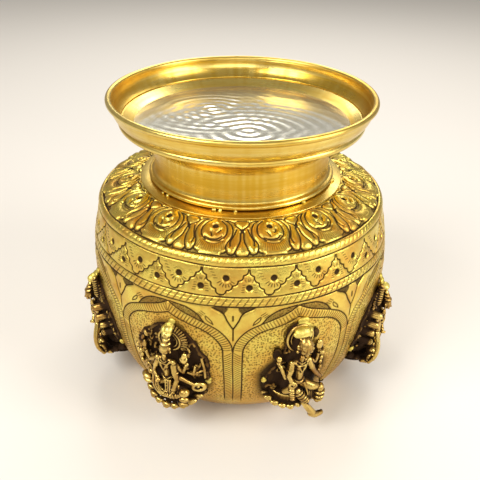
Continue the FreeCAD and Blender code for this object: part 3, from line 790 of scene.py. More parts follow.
chased = brass("chased_brass", LEMON, (0.62, 0.35, 0.060), DARK_PATINA_AND_SHADE, 0.30, 0.45)
spun = brass("turned_brass", AMBER, (0.58, 0.34, 0.024), DARK_PATINA_AND_SHADE, 0.28, 0.06, streak=True)
cast = brass("cast_brass", (0.78, 0.58, 0.165), (0.31, 0.155, 0.036), (0.030, 0.014, 0.005), 0.27, 0.2)
filler = brass("braze_brass", (0.78, 0.66, 0.22), LEMON, DARK_PATINA_AND_SHADE, 0.42, 0.5)


def finish_piece(piece, node):
    """Hands a piece over to the frame."""
    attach(piece, "root")
    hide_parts(node)


belly_out = joined([(BASE_FLAT, 0)], spaced(lower_path(0)[1:], 0.5))
belly_section = joined(belly_out, lower_path(WALL)[::-1][::6], [(BASE_FLAT, WALL)])
shoulder_out = spaced(shoulder_path(0)[:-1], 0.45)
shoulder_section = joined(shoulder_out, [(HOLE_RADIUS, LAND)], shoulder_path(WALL)[::-1][::5])
for node, section, relief, outside, cap in (
        ("lower_bowl", belly_section, belly_relief, belly_out, True),
        ("shoulder", shoulder_section, shoulder_relief, shoulder_out, False)):
    skin = turned(f"{node}_skin", section, chased, COLUMNS, outside_only(relief, len(outside)), cap)
    finish_piece(skin, node)
for name, node, section, seed, tint_and_shade in (
        ("mouth_spun", "mouth", mouth_section(), 31, neck_painted_shade),
        ("rim_spun", "rim_ring", rim_section(), 41, rim_painted_shade),
        ("collar_spun", "collar_ring", collar_section(), 51, collar_painted_shade)):
    finish_piece(turned(name, section, spun, SPUN_COLUMNS, turned_relief(seed, tint_and_shade)), node)


# ---------------------------------------------------------------- cast figures

UNIT = 0.64                             # one unit of a figure's own frame, in mm
FIGURE_COUNT = 8
FIGURE_VOXEL, BRAZE_VOXEL, TACK_VOXEL = 0.36, 0.4, 0.3
FIGURE_SEED, BRAZE_SEED = 60, 90


def unit(vector):
    """A vector at length one."""
    return vector / (np.linalg.norm(vector) + TINY)


def vectors(*values):
    """Points as arrays, to be added and scaled."""
    return [np.asarray(value, float) for value in values]


def basis(way):
    """Two directions across a way, and the way itself, as the columns of a matrix."""
    way = unit(way)
    side = unit(np.cross(way, (0, 0, 1) if abs(way[2]) < 0.9 else (1, 0, 0)))
    return np.stack([side, np.cross(way, side), way], 1)


def around(first, last, count):
    """Angles in radians, evenly spaced between two in degrees."""
    return np.radians(np.linspace(first, last, count))


class Clay:
    """Closed lumps in a figure's frame of across, out and up, to be melted into one casting."""

    def __init__(self, seed):
        self.points, self.faces, self.count = [], [], 0
        self.draw = random.Random(seed)

    def add(self, points, faces):
        """A closed lump of triangles."""
        self.points.append(points)
        self.faces.append(faces + self.count)
        self.count += len(points)

    def lathe(self, origin, axes, profile, sides):
        """A turned lump: profile is (radius, height) along the third axis, with both ends closed."""
        theta = np.linspace(0, CIRCLE, sides, endpoint=False)
        ring = np.stack([np.cos(theta), np.sin(theta)], 1)
        local = np.concatenate([np.concatenate([ring * r, np.full((sides, 1), h)], 1) for r, h in profile])
        points = local @ np.asarray(axes).T + np.asarray(origin, float)
        quads = ring_quads(len(profile), sides)
        k, centre, last = np.arange(sides), len(points), (len(profile) - 1) * sides
        points = np.concatenate([points, [points[:sides].mean(0), points[-sides:].mean(0)]])
        self.add(points, np.concatenate([
            quads[:, [0, 1, 2]], quads[:, [0, 2, 3]],
            np.stack([np.full(sides, centre), (k + 1) % sides, k], 1),
            np.stack([np.full(sides, centre + 1), last + k, last + (k + 1) % sides], 1)]))

    def ball(self, place, radii, turn=0.0):
        """An ellipsoid of radii across, out and up, turned in the plane of the wall by turn degrees."""
        angle = np.linspace(-math.pi / 2, math.pi / 2, 11)[1:-1]
        cos, sin = math.cos(math.radians(turn)), math.sin(math.radians(turn))
        spin = np.array([(cos, 0, -sin), (0, 1, 0), (sin, 0, cos)])
        self.lathe(place, spin * (np.ones(3) * radii), np.stack([np.cos(angle), np.sin(angle)], 1), 16)

    def limb(self, first, second, radius, far_radius=None):
        """A tapered rod with round ends."""
        far_radius = radius if far_radius is None else far_radius
        first, second = vectors(first, second)
        length = np.linalg.norm(second - first)
        angle = np.linspace(0, math.pi / 2, 5)[:-1]
        start = [(radius * math.cos(t), -radius * math.sin(t)) for t in angle[::-1]]
        end = [(far_radius * math.cos(t), length + far_radius * math.sin(t)) for t in angle]
        self.lathe(first, basis(second - first), start + end, 12)

    def chain(self, points, radii):
        """Limbs end to end, with a radius at each joint."""
        for k in range(len(points) - 1):
            self.limb(points[k], points[k + 1], radii[k], radii[k + 1])

    def rod(self, points, radii):
        """A smooth bent rod through points, with a radius at each or one for all."""
        points = np.asarray(points, float)
        radii = np.ones(len(points)) * radii
        if len(points) > 2:
            places = np.linspace(0, len(points) - 1, 5 * (len(points) - 1) + 1)
            starts = [min(int(place), len(points) - 2) for place in places]
            radii = np.interp(places, np.arange(len(points)), radii)
            padded = with_ends(points)
            points = [curve_between(*padded[k:k + 4], place - k) for k, place in zip(starts, places)]
        self.chain(points, radii)

    def ring(self, centre, normal, radius, thick, start=0.0, end=360.0, steps=26, stretch=1.0):
        """A ring or part of one, round a direction; angles from the across direction."""
        centre, normal = np.asarray(centre, float), unit(normal)
        side = unit(np.cross((0, 0, 1), normal)) if abs(normal[2]) < 0.9 else np.array([1.0, 0, 0])
        side = side if side[0] >= 0 else -side
        lift = unit(np.cross(normal, side))
        lift = lift if lift[2] + 0.01 * lift[1] >= 0 else -lift
        points = [centre + side * math.cos(t) * radius + lift * math.sin(t) * radius * stretch
                  for t in around(start, end, steps)]
        self.chain(points, [thick] * steps)

    def beads(self, points, radius, gap):
        """A row of beads along a path."""
        path = np.asarray(points, float)
        along = path_length(path)
        for place in np.arange(0, along[-1] + 1e-6, gap):
            self.ball([np.interp(place, along, path[:, k]) for k in range(3)], radius)


def wall_fall(across, up):
    """How far the belly's surface falls back from a figure's frame, in units."""
    return UNIT * (across ** 2 / (2 * BELLY_RADIUS) + up ** 2 / (2 * BELLY_CURVE))


def back_plate(clay, outline, scallops):
    """The casting's thin, ragged oval back, with broken lumps along its edge."""
    path = smooth_line(outline + [(-x, y) for x, y in outline[-2:0:-1]], 1.0, closed=True)
    turn = np.arctan2(path[:, 1] - 2, path[:, 0])
    ragged = sum(share * np.sin(waves * turn + clay.draw.uniform(0, 6.3))
                 for waves, share in ((5, 0.022), (9, 0.018), (17, 0.012)))
    reach = np.hypot(path[:, 0], path[:, 1] - 2) * (1 + ragged)
    rings = np.linspace(0, 1, 26)
    front = [np.stack([share * reach * np.cos(turn), np.full(len(path), 1.3 + 0.5 * share ** 6),
                       2 + share * reach * np.sin(turn)], 1) for share in rings]
    back = [ring * (1, 0, 1) - (0, 1.6, 0) for ring in front]
    count = len(path)
    quads = ring_quads(2 * len(rings), count)
    halves = np.concatenate([quads[:, [0, 2, 1]], quads[:, [0, 3, 2]]])
    clay.add(np.concatenate([*front, *back[::-1]]), halves)
    for k in range(0, count - 3, 3):
        if path[k, 1] < scallops or clay.draw.random() < 0.5:
            continue
        ends = [front[-1][k + step] * (0.97, 1, 0.97) + (0, 0.3, 0) for step in (0, 3)]
        size = clay.draw.uniform(0.7, 1.4)
        clay.limb(*ends, size, size * 0.9)
        clay.ball(ends[0], (size * 1.4, size, size * clay.draw.uniform(1.0, 2.2)), clay.draw.uniform(-50, 50))


def foliage(clay, outline, count):
    """Low, broken scrolls that fill the ground between a figure and the edge of its plate."""
    edge = np.array(outline)
    for _ in range(count):
        level = clay.draw.uniform(edge[-1][1] + 6, edge[0][1] - 6)
        wide = np.interp(level, edge[::-1, 1], edge[::-1, 0]) - 2.5
        across = clay.draw.uniform(-wide, wide)
        turn, size = clay.draw.uniform(0, 6.28), clay.draw.uniform(0.8, 1.5)
        span = clay.draw.uniform(1.5, 3.4)
        path = [(across + span * math.cos(turn + k * 0.8), clay.draw.uniform(2.2, 4.2),
                 level + span * math.sin(turn + k * 0.8)) for k in range(4)]
        clay.rod(path, [size, size * 1.1, size, size * 0.8])


def face(clay, place, size):
    """A calm, plain face on an egg-shaped head, features set by the usual thirds."""
    centre = np.asarray(place, float)
    front = np.array((place[0], place[1] + size * 0.74, place[2]))
    clay.ball(place, (size * 0.80, size * 0.84, size * 1.05))
    clay.limb(front + (0, -0.3, size * 0.18), front + (0, size * 0.13, -size * 0.22),
              size * 0.085, size * 0.13)

    def feature(origin, offset, radii):
        clay.ball(origin + np.array(offset) * size, np.array(radii) * size)

    for side in (-1, 1):
        feature(front, (side * 0.33, -0.06, 0.12), (0.19, 0.10, 0.085))
        brow = [front + np.array((side * k, -(0.02 + 0.35 * k * k), lift)) * size
                for k, lift in ((0.12, 0.30), (0.34, 0.36), (0.55, 0.27))]
        clay.rod(brow, size * 0.05)
        feature(front, (side * 0.42, -0.22, -0.32), (0.26, 0.2, 0.26))
        feature(centre, (side * 0.84, 0.05, -0.05), (0.12, 0.2, 0.3))
        feature(centre, (side * 0.88, 0.1, -0.52), 0.17)
    for drop, wide in ((0.45, 0.20), (0.54, 0.16)):
        feature(front, (0, -0.06, -drop), (wide, 0.1, 0.055))
    feature(front, (0, -0.16, -0.78), (0.24, 0.16, 0.17))


def crown(clay, place, radius, tall):
    """A tall ringed crown with a bud on top."""
    x, out, up = place
    steps = 3
    for k in range(steps):
        share = k / (steps - 1)
        across = radius * (1 - 0.34 * share ** 1.3)
        clay.ball((x, out - 2.2 * share, up + tall * share), (across, across * 0.9, tall / steps * 0.62))
    clay.limb((x, out, up - 1), (x, out - 2.2, up + tall), radius * 0.84, radius * 0.5)
    clay.beads([(x + radius * 1.02 * math.cos(t), out + radius * 0.95 * math.sin(t), up - 0.6)
                for t in around(0, 180, 24)], 0.7, 1.6)


def halo(clay, place, radius, rays, stretch=1.0):
    """Raised rings behind the head, with stout rays outside them."""
    place = np.asarray(place, float)
    for share, thick in ((1.0, 1.25), (0.72, 0.8)):
        clay.ring(place, (0, 1, 0), radius * share, thick, steps=40, stretch=stretch)
    axes = np.array([(1, 0, 0), (0, 0, stretch), (0, 1, 0)]).T
    clay.lathe(place - (0, 1.5, 0), axes, [(radius, -4), (radius, 0.4)], 36)
    for k in range(rays):
        turn = math.radians(-25 + 10 * k)
        way = np.array([math.cos(turn), 0, stretch * math.sin(turn)])
        start = place + way * radius * 1.06
        clay.limb(start, start + way * 5.6 - (0, 1.2, 0), 0.75, 1.0)


def hand(clay, place, way):
    """A closed hand with four knuckles."""
    clay.ball(place, (2.3, 2.1, 2.3))
    side, _, along = basis(way).T
    for k in range(4):
        knuckle = place + side * (k - 1.5) * 1.15
        clay.limb(knuckle + along * 1.0 + (0, 1.2, 0), knuckle - along * 1.2 + (0, 1.9, 0), 0.72)


def arm(clay, places, thick=2.3):
    """One arm from shoulder through elbow to hand, with bangles and an armlet."""
    shoulder, elbow, wrist = vectors(*places)
    clay.rod([shoulder, (shoulder + elbow) / 2 + (0, 0.6, 0), elbow], [thick * 1.1, thick, thick * 0.82])
    clay.rod([elbow, (elbow + wrist) / 2 + (0, 0.5, 0), wrist], [thick * 0.86, thick * 0.82, thick * 0.62])
    for share in (0.78, 0.88):
        clay.ring(elbow + (wrist - elbow) * share, wrist - elbow, thick * 0.8, 0.55, steps=12)
    clay.ring(shoulder + (elbow - shoulder) * 0.45, elbow - shoulder, thick * 1.1, 0.6, steps=12)
    hand(clay, wrist + unit(wrist - elbow) * 1.6, wrist - elbow)


def lotus_bud(clay, place, size):
    """A bud with an inner tip and outer petals."""
    x, out, up = place
    clay.ball((x, out, up + size * 0.5), (size * 0.55, size * 0.5, size))
    for turn in (-32, 0, 32):
        clay.ball((x + size * 0.45 * math.sin(math.radians(turn)), out + size * 0.3, up),
                  (size * 0.32, size * 0.3, size * 0.75), -turn)


def torso(clay, chest, waist, width, shoulders):
    """Chest, waist and hips, with shoulders, neck, necklaces, sash and belt."""
    chest, waist = vectors(chest, waist)
    clay.ball(chest, (width, width * 0.6, width * 1.05))
    for side in (-1, 1):
        clay.ball(chest + (side * width * 0.42, width * 0.5, -width * 0.1), width * 0.36)
        clay.ball(chest + (side * shoulders, 0, width * 0.62), width * 0.42)
        clay.limb(chest + (0, -0.5, width * 0.75), chest + (side * shoulders, 0, width * 0.62), width * 0.4)
    clay.limb(chest - (0, 0, width * 0.4), waist, width * 0.72, width * 0.62)
    clay.ball(waist - (0, 0, width * 0.55), (width * 1.1, width * 0.7, width * 0.6))
    clay.limb(chest + (0, 0.6, width * 0.7), chest + (0, 1.6, width * 1.7), width * 0.40, width * 0.36)
    for drop, wide in ((1.2, 0.5), (0.8, 0.8)):
        points = [chest + (width * wide * math.cos(t), width * 0.62, width * (drop + 0.5 * math.sin(t)))
                  for t in around(180, 360, 11)]
        clay.beads(points, 0.62, 1.15)
    for side in (-1, 1):
        clay.rod([chest + (side * shoulders * 0.75, width * 0.3, width * 0.9),
                  chest + (side * width * 0.45, width * 0.78, width * 0.1),
                  chest + (0, width * 0.85, -width * 0.8)], 0.75)
    for k in range(2):
        clay.ring(waist - (0, 0, width * (0.25 + 0.3 * k)), (0, 0.12, 1), width * 0.78, 0.75, steps=20)


def backing(clay, lumps):
    """The solid metal between the figure and its plate."""
    for place, radii in lumps:
        clay.ball(place, radii)


def drape(clay, first, second, radius, folds, band=1.0):
    """A leg under cloth with raised folds across it."""
    first, second = vectors(first, second)
    bulge = radius * 0.35
    clay.rod([first, (first + second) / 2 + (0, bulge, 0), second], [radius, radius * 0.95, radius * 0.72])
    for k in range(folds):
        share = (k + 0.7) / (folds + 0.4)
        centre = first + (second - first) * share + (0, bulge * math.sin(share * math.pi), 0)
        clay.ring(centre, second - first, radius * (1.0 - 0.22 * share), band, steps=16)


def petals(clay, centre, radius, height, reach, size, count):
    """Lotus petals that touch, round the front of the seat."""
    for k in range(count):
        turn = math.radians(-reach + 2 * reach * k / (count - 1) + clay.draw.uniform(-1.5, 1.5))
        x, out = centre[0] + radius * math.sin(turn), centre[1] + radius * 0.76 * math.cos(turn)
        z = height + 0.011 * x * x + clay.draw.uniform(-0.5, 0.5)
        grown = size * clay.draw.uniform(0.9, 1.1)
        clay.ball((x, out - 1.0, z), (grown * 1.12, grown * 0.7, grown * 0.66), 14 * math.sin(turn))
        clay.ball((x, out + grown * 0.30, z - grown * 0.16), (grown * 0.62, grown * 0.42, grown * 0.44))


def side_bars(clay, across, levels, out=9.0, thick=2.6):
    """Stout bars at one edge, stacked, that run from the wall out to the figure."""
    side = math.copysign(1, across)
    for level in levels:
        low = np.array((across + side * 2.5, 0.5, level))
        high = np.array((across, out + clay.draw.uniform(-0.8, 1.2), level + clay.draw.uniform(-0.5, 0.5)))
        clay.limb(low, high, thick, thick * 0.92)
    clay.ball((across - side * 1.5, 2.5, (levels[0] + levels[-1]) / 2),
              (4.0, 5.0, (levels[0] - levels[-1]) / 2 + 2))


def folded_cloth(clay, centre, wide, high, low, out, loops):
    """Cloth that hangs over a leg in nested loops."""
    for k in range(loops):
        inset = 2.6 * k
        reach, middle, turn = wide - inset, (high + low) / 2, low + inset * 1.1 + 2.5
        clay.rod([(centre - reach, out - 4, high), (centre - reach * 1.02, out - 0.8, middle),
                  (centre - reach * 0.6, out, turn), (centre, out + 0.3, low + inset),
                  (centre + reach * 0.6, out, turn), (centre + reach * 0.95, out - 0.8, middle),
                  (centre + reach, out - 3, high)], 1.35 if k == 0 else 0.8)


def ringed_column(clay, low, high, radius):
    """A small column with rings along it."""
    low, high = vectors(low, high)
    clay.limb(low, high, radius, radius * 0.8)
    for share in np.linspace(0.1, 0.9, 7):
        clay.ring(low + (high - low) * share, high - low, radius * (1.05 - 0.2 * share), 0.7, steps=14)


def crossed_figure(seed, stacked):
    """A four-armed figure with crossed legs in an oval back.

    One side holds a ring and a small trident, or where stacked a column and a stack of bars.
    """
    clay = Clay(seed)
    jig = clay.draw.uniform
    outline = [(0, 49), (12, 47), (25, 38), (34, 23), (38, 8), (38, -8), (34, -20), (25, -29), (13, -35),
               (0, -37)]
    back_plate(clay, outline, -16)
    foliage(clay, outline, 70)
    backing(clay, (((0, 1, 10), (12, 7.5, 24)), ((0, 3, -21), (25, 9, 10)), ((-21, 1, -16), (6, 7, 14)),
                   ((0, 5, 36), (5.5, 8, 14))))
    halo(clay, (2.0, 4.6, 36), 11.0, 13)
    head = (2.2 + jig(-0.4, 0.4), 13.0, 34.5)
    face(clay, head, 6.2)
    crown(clay, (head[0] + 0.4, 12.6, 41.4), 4.7, 6.0)
    torso(clay, (0, 11.0, 12.0), (0.5, 11.5, -3), 6.2, 8.8)
    arm(clay, [(-8.6, 9.5, 14), (-19, 9.5, 6), (-24, 8.5, 15)])
    lotus_bud(clay, (-25, 7.5, 20), 4.0)
    arm(clay, [(8.6, 9.5, 14), (17, 9.5, 3), (20.5, 9.5, 14)], 2.0)
    lotus_bud(clay, (19.5, 10, 22), 5.4)
    arm(clay, [(-8.6, 11.5, 12), (-12.5, 14, -1), (-6.5, 18.5, -6)])
    arm(clay, [(8.6, 11.5, 12), (12.6, 15, -4), (9.5, 20, -17)], 2.9)
    # pot of stacked discs under a small arch, at one side
    for drop, wide, thick in ((-20.5, 6.2, 2.6), (-26.5, 7.0, 2.9)):
        clay.ball((-27.5 - 0.1 * drop, 12.5, drop), (wide, wide * 0.8, thick))
    clay.ball((-20, 10.5, -12.5), (4.2, 3.4, 3.0))
    clay.ring((-20.5, 11.5, -4.0), (0, 1, 0), 2.7, 1.2, -20, 200, steps=18, stretch=1.7)
    if stacked:
        ringed_column(clay, (12, 5.5, 37), (9, 6.0, 55), 3.2)
        side_bars(clay, 22, (29, 17, 5.5, -5.5), 12.0, 4.2)
        clay.ball((24, 21, -21), 4.8)
        clay.rod([(21, 16, 8), (26, 23, -4), (29, 25.5, -15), (27, 23, -27)], [2.6, 2.4, 2.2, 2.0])
    else:
        clay.ring((30.5, 9.5, -16), (0.3, 1, 0), 5.2, 2.0, steps=26)
        clay.ball((29.5, 8.5, -16.5), 2.0)
        clay.rod([(15, 13, -2), (21, 12, -7), (26.5, 10, -13)], [2.2, 1.9, 1.6])
        for tip in ((29, 9, 14), (34, 7, 7), (22, 10, 5)):
            clay.rod([(27, 9.5, 3), tip], [1.4, 1.0])
        clay.rod([(33, 4, 20), (35.5, 5, 8), (35.5, 5, -5)], 1.2)
    side_bars(clay, -29, (19, 12.5, 6, -0.5))
    for across, level in ((-38, 8), (-37, 0), (-34.5, 15), (-35, -8), (-30.5, 23), (-26, 31)):
        clay.ball((across + jig(-1, 1), 3.4, level), (2.4, 2.6, 3.6), jig(-40, 40))
    # legs under folded cloth
    drape(clay, (5, 12, -15), (18, 15, -17), 4.2, 0)
    clay.ball((20, 18.5, -17.5), 4.9)
    clay.ring((20, 20.5, -17.5), (0.1, 1, 0), 3.2, 0.9, steps=20)
    drape(clay, (14.5, 19.5, -23), (2, 21, -26), 2.9, 4, band=0.8)
    drape(clay, (-4, 12, -15), (-15, 14, -18), 4.0, 0)
    folded_cloth(clay, -3.0, 9.4, -5, -31.0, 20.5, 3)
    folded_cloth(clay, 9.5, 4.4, -12, -28.5, 19.5, 2)
    clay.ball((19, 20, -28), (5.0, 3.6, 3.6))
    clay.lathe((0, -4, -34), np.eye(3) * (1, 0.86, 1),
               [(23, -4.0 if stacked else -10.5), (28, -2.5 if stacked else -7.5), (26, -1), (24.5, 4)], 40)
    petals(clay, (0, 2.5), 29.0, -36.0 if stacked else -42.0, 86, 4.9, 11)
    return clay


def leg_down_figure(seed):
    """A narrower four-armed figure with one leg hanging over the seat."""
    clay = Clay(seed)
    jig = clay.draw.uniform
    outline = [(0, 46), (7, 44), (11, 38), (12.5, 29), (14, 18), (18, 6), (24.5, -4), (28.5, -15), (28, -27),
               (24, -37), (13, -45), (0, -48)]
    back_plate(clay, outline, -24)
    foliage(clay, outline, 60)
    for across, level, tall in ((17, 34, 5.6), (-19.5, 17, 7.5)):
        clay.ball((across, 1.5, level), (4.6, 1.6, tall))
    backing(clay, (((0, 1, 8), (11, 7.5, 26)), ((6, 3, -26), (19, 10, 14)), ((20, 1, 2), (5, 5, 18)),
                   ((0, 5, 34), (7, 8, 13))))
    halo(clay, (0, 4.6, 36), 12.6, 0, 1.15)
    head = (0.8 + jig(-0.4, 0.4), 13.6, 35.5)
    face(clay, head, 8.8)
    crown(clay, (head[0], 10.6, 43.0), 5.0, 2.0)
    torso(clay, (0, 11.0, 9.5), (0, 11.8, -7), 6.4, 8.8)
    arm(clay, [(-8.8, 9.5, 12), (-13.5, 12, -5), (-20.5, 10, 13)])
    clay.ball((-21, 9.5, 19), (2.6, 2.2, 3.4))
    arm(clay, [(8.8, 9.5, 12), (17, 9.5, 6), (20, 8, 16)], 2.0)
    clay.ball((20, 7, 25), (4.2, 3.2, 5.8))
    arm(clay, [(-8.8, 11.5, 11), (-12, 15, 0), (-8.5, 16.5, -8)], 2.5)
    clay.ring((-8, 18.5, -10), (-0.2, 1, 0), 3.0, 1.3, steps=20)
    arm(clay, [(8.8, 11.5, 11), (15.5, 14, -3), (24, 13.5, -15)], 2.6)
    for k in range(5):
        turn = math.radians(72 * k)
        clay.ball((27.5 + 2.0 * math.cos(turn), 14, -22 + 2.0 * math.sin(turn)), 1.5)
    # cloth that falls from the lower hand, with folds
    for k in range(6):
        clay.ball((-8.0 + 0.5 * k, 17.6 + 0.5 * k, -15 - 3.3 * k), (3.2, 2.4, 1.35), -14)
    side_bars(clay, 23.5, (15, 8.5, 2, -4.5, -11, -17.5))
    # thighs, cloth between them, and the leg that hangs
    drape(clay, (5, 12, -16), (21, 19, -23), 5.0, 0)
    drape(clay, (22.5, 20, -24), (21.5, 24, -40), 4.8, 3, band=1.4)
    drape(clay, (-3, 12, -18), (-12, 14, -24), 4.4, 0)
    drape(clay, (-1, 17, -23), (10, 23, -38), 4.0, 5, band=1.1)
    for k in range(4):
        clay.rod([(5 + 2.6 * k, 16.5, -13 - k), (8.5 + 2.3 * k, 20.5, -24 - k * 0.8),
                  (11 + 1.6 * k, 23, -36)], 0.95)
    clay.rod([(6, 24, -38), (12, 28, -47), (16, 30.5, -53)], [3.0, 3.6, 3.9])
    clay.rod([(15, 30.5, -53.5), (20, 32, -57.5), (27, 32, -59)], [4.0, 3.8, 2.9])
    for k in range(4):
        clay.ball((26.5 + 0.7 * k, 33.5 - 1.1 * k, -59.2), 1.3)
    clay.lathe((0, -3, -39), np.eye(3) * (1, 0.86, 1), [(19, -10.5), (24, -7.5), (22.5, -2), (21, 5)], 40)
    petals(clay, (-1, 1.5), 25.0, -46.5, 84, 4.3, 10)
    return clay


def read_mesh(items, key, width, kind):
    """One value of every vertex, edge or corner of a mesh, width numbers to a row."""
    values = np.empty(len(items) * width, kind)
    items.foreach_get(key, values)
    return values.reshape(-1, width)


def remeshed(points, faces, voxel):
    """Lumps melted into one skin: its points, edges and quads."""
    mesh = bpy.data.meshes.new("clay")
    mesh.from_pydata(points.tolist(), [], faces.tolist())
    piece = bpy.data.objects.new("clay", mesh)
    bpy.context.scene.collection.objects.link(piece)
    melt = piece.modifiers.new("melt", "REMESH")
    melt.mode, melt.voxel_size, melt.adaptivity = "VOXEL", voxel, 0.0
    skin = bpy.data.meshes.new_from_object(piece.evaluated_get(bpy.context.evaluated_depsgraph_get()))
    bpy.data.objects.remove(piece)
    co = read_mesh(skin.vertices, "co", 3, np.float32).astype(float)
    edges = read_mesh(skin.edges, "vertices", 2, np.int32)
    quads = read_mesh(skin.loops, "vertex_index", 1, np.int32).reshape(-1, 4)
    bpy.data.meshes.remove(skin)
    bpy.data.meshes.remove(mesh)
    return co, edges, quads


def softened(places, edges, rounds):
    """Points moved half way to the middle of their neighbours, round by round."""
    degree = np.bincount(edges.ravel(), minlength=len(places))[:, None]
    for _ in range(rounds):
        total = np.stack([np.bincount(edges[:, 0], places[edges[:, 1], k], len(places))
                          + np.bincount(edges[:, 1], places[edges[:, 0], k], len(places))
                          for k in range(3)], 1)
        places = places * 0.5 + total / np.maximum(degree, 1) * 0.5
    return places


def point_normals(co, quads):
    """The outward direction of a quad mesh at its points."""
    across = np.cross(co[quads[:, 2]] - co[quads[:, 0]], co[quads[:, 3]] - co[quads[:, 1]])
    normals = np.zeros_like(co)
    for k in range(4):
        for axis in range(3):
            normals[:, axis] += np.bincount(quads[:, k], across[:, axis], len(co))
    return unit_rows(normals)


def blurred(field, reach=7):
    """A grid averaged over a square, twice in each direction."""
    span = 2 * reach + 1
    for axis in (0, 0, 1, 1):
        pads = [(reach + 1, reach) if side == axis else (0, 0) for side in (0, 1)]
        total = np.cumsum(np.pad(field, pads, mode="edge"), axis)
        high = np.take(total, range(span, total.shape[axis]), axis)
        field = (high - np.take(total, range(total.shape[axis] - span), axis)) / span
    return field


def sunk(co, cell=0.5):
    """How far each point lies under its surroundings, seen straight on."""
    low = co[:, [0, 2]].min(0) - 5
    place = ((co[:, [0, 2]] - low) / cell).astype(int)
    heights = np.full(place.max(0) + 12, np.nan)
    order = np.argsort(-co[:, 1])
    heights[place[order, 0], place[order, 1]] = -co[order, 1]
    known = ~np.isnan(heights)
    mean = blurred(np.where(known, heights, 0)) / np.maximum(blurred(known.astype(float)), 1e-3)
    return mean[place[:, 0], place[:, 1]] + co[:, 1]


# How much a casting is darkened all over, where it lies low, in wide and in fine hollows, and
# where it turns from the front, and the darkness of the ground close to the wall. Darkening where it
# lies low and in hollows is tarnish and painted shade together; darkening where it turns from the
# front and of the ground close to the wall is painted shade.
EVEN, LOW, WIDE, FINE, AWAY_SHADE = 0.79, 0.28, 3.2, 5.5, 0.46
GROUND_SHADE, GROUND_LEVEL, GROUND_FADE = 0.76, 5.8, 3.8


def melted(clay, voxel, bent=True, mirrored=False):
    """One casting from a clay, in its own frame in mm: points, quads, and darkness and warmth, which
    hold tarnish and painted shade.

    bent wraps a figure's frame round the belly, and mirrored swaps its left and right.
    """
    points = np.concatenate(clay.points)
    if bent:
        points[:, 1] -= wall_fall(points[:, 0], points[:, 2])
    points *= UNIT
    co, edges, quads = remeshed(points * (1, -1, 1), np.concatenate(clay.faces)[:, ::-1], voxel)
    co = softened(co, edges, 1)
    normals = point_normals(co, quads)
    cavity, fine = (np.sum((softened(co, edges, rounds) - co) * normals, 1) for rounds in (24, 5))
    away = 0.5 + normals[:, 1]
    low = np.maximum(sunk(co), -0.9)
    dark = np.clip(EVEN + low * LOW + cavity * WIDE + fine * FINE + away * AWAY_SHADE, 0, 1)
    if bent:
        above_wall = wall_fall(co[:, 0] / UNIT, co[:, 2] / UNIT) - co[:, 1] / UNIT
        dark = np.maximum(dark, GROUND_SHADE * np.clip((GROUND_LEVEL - above_wall) / GROUND_FADE, 0, 1))
    warm = np.clip(dark * 2.2 - 0.1, 0, 1)
    if mirrored:
        co, quads = co * (-1, 1, 1), quads[:, ::-1]
    return co, quads, (dark, warm)


def on_belly(points, level, azimuth, tilt):
    """Points of a figure's own frame, set on the belly."""
    lean = -math.asin((level - BELLY_CENTRE[1]) / BELLY_CURVE)
    about = Matrix.Rotation(azimuth, 3, "Z")
    spin = about @ Matrix.Rotation(lean, 3, "X") @ Matrix.Rotation(tilt, 3, "Y")
    reach = BELLY_CENTRE[0] + math.sqrt(BELLY_CURVE ** 2 - (level - BELLY_CENTRE[1]) ** 2)
    shift = about @ Vector((0, -reach, level))
    return points @ np.array(spin).T + np.array(shift)


def piece_of(name, castings, material):
    """One object from several melted castings."""
    start, points, faces, fields = 0, [], [], []
    for co, quads, field in castings:
        points.append(co)
        faces.append(quads + start)
        fields.append(np.stack(field))
        start += len(co)
    return make_object(name, np.concatenate(points), faces, np.concatenate(fields, 1), material)


TILTS = (0.5, 2.0, -1.5, 1.0, -2.5, 1.5, 0.5, 2.0)
SHIFTS = (0.0, 0.4, 0.0, -0.5, 0.3, 0.0, 0.0, -0.2)
DESIGNS = ("leg_down", "low", "low", "crossed") * 2      # of figures 1 to 8
LEVELS = {"leg_down": 54.27, "low": 45.5, "crossed": 50.0}       # heights of the frames, in mm
CROWN_TOPS = {"leg_down": 44.5, "low": 51.5, "crossed": 47.5}    # in a figure's units
PLATE_EDGES = {"leg_down": (28.5, -18), "low": (37, -13), "crossed": (37, -13)}
MIRRORED = (1, 2)                                        # of the figures, counted from 0


def seat_of(number):
    """Height, azimuth and tilt of a figure's frame."""
    azimuth = math.radians(360 / FIGURE_COUNT * (number + 0.5) + SHIFTS[number]) + TURN
    return LEVELS[DESIGNS[number]], azimuth, math.radians(TILTS[number])


def braze_clay(number, draw):
    """Filler over a figure's crown and at the two lower edges of its back plate."""
    clay = Clay(BRAZE_SEED + number)
    grow, aside = (draw.uniform(0.95, 1.15), 0.0) if number else (1.75, 1.5)
    top = CROWN_TOPS[DESIGNS[number]]
    for _ in range(9):
        place = (aside + draw.uniform(-2.2, 2.2) * grow, draw.uniform(4.0, 8.5),
                 top + draw.uniform(-2.2, 2.6))
        clay.ball(place, (draw.uniform(3.2, 4.3) * grow, draw.uniform(3.8, 5.2), draw.uniform(2.8, 3.8)))
    for lift, wide, out in ((3.5, 4.8, 3.0), (7.0, 3.6, 0.6)):
        clay.ball((aside + 0.4 * lift, out, top + lift), (wide * grow, 2.2, 3.4))
    edge, level = PLATE_EDGES[DESIGNS[number]]
    for side in (-1, 1):
        for _ in range(4):
            clay.ball((side * (edge - draw.uniform(-1, 2.0)), draw.uniform(1.0, 2.4),
                       level + draw.uniform(-2.4, 2.4)), draw.uniform(1.8, 2.6))
    return clay


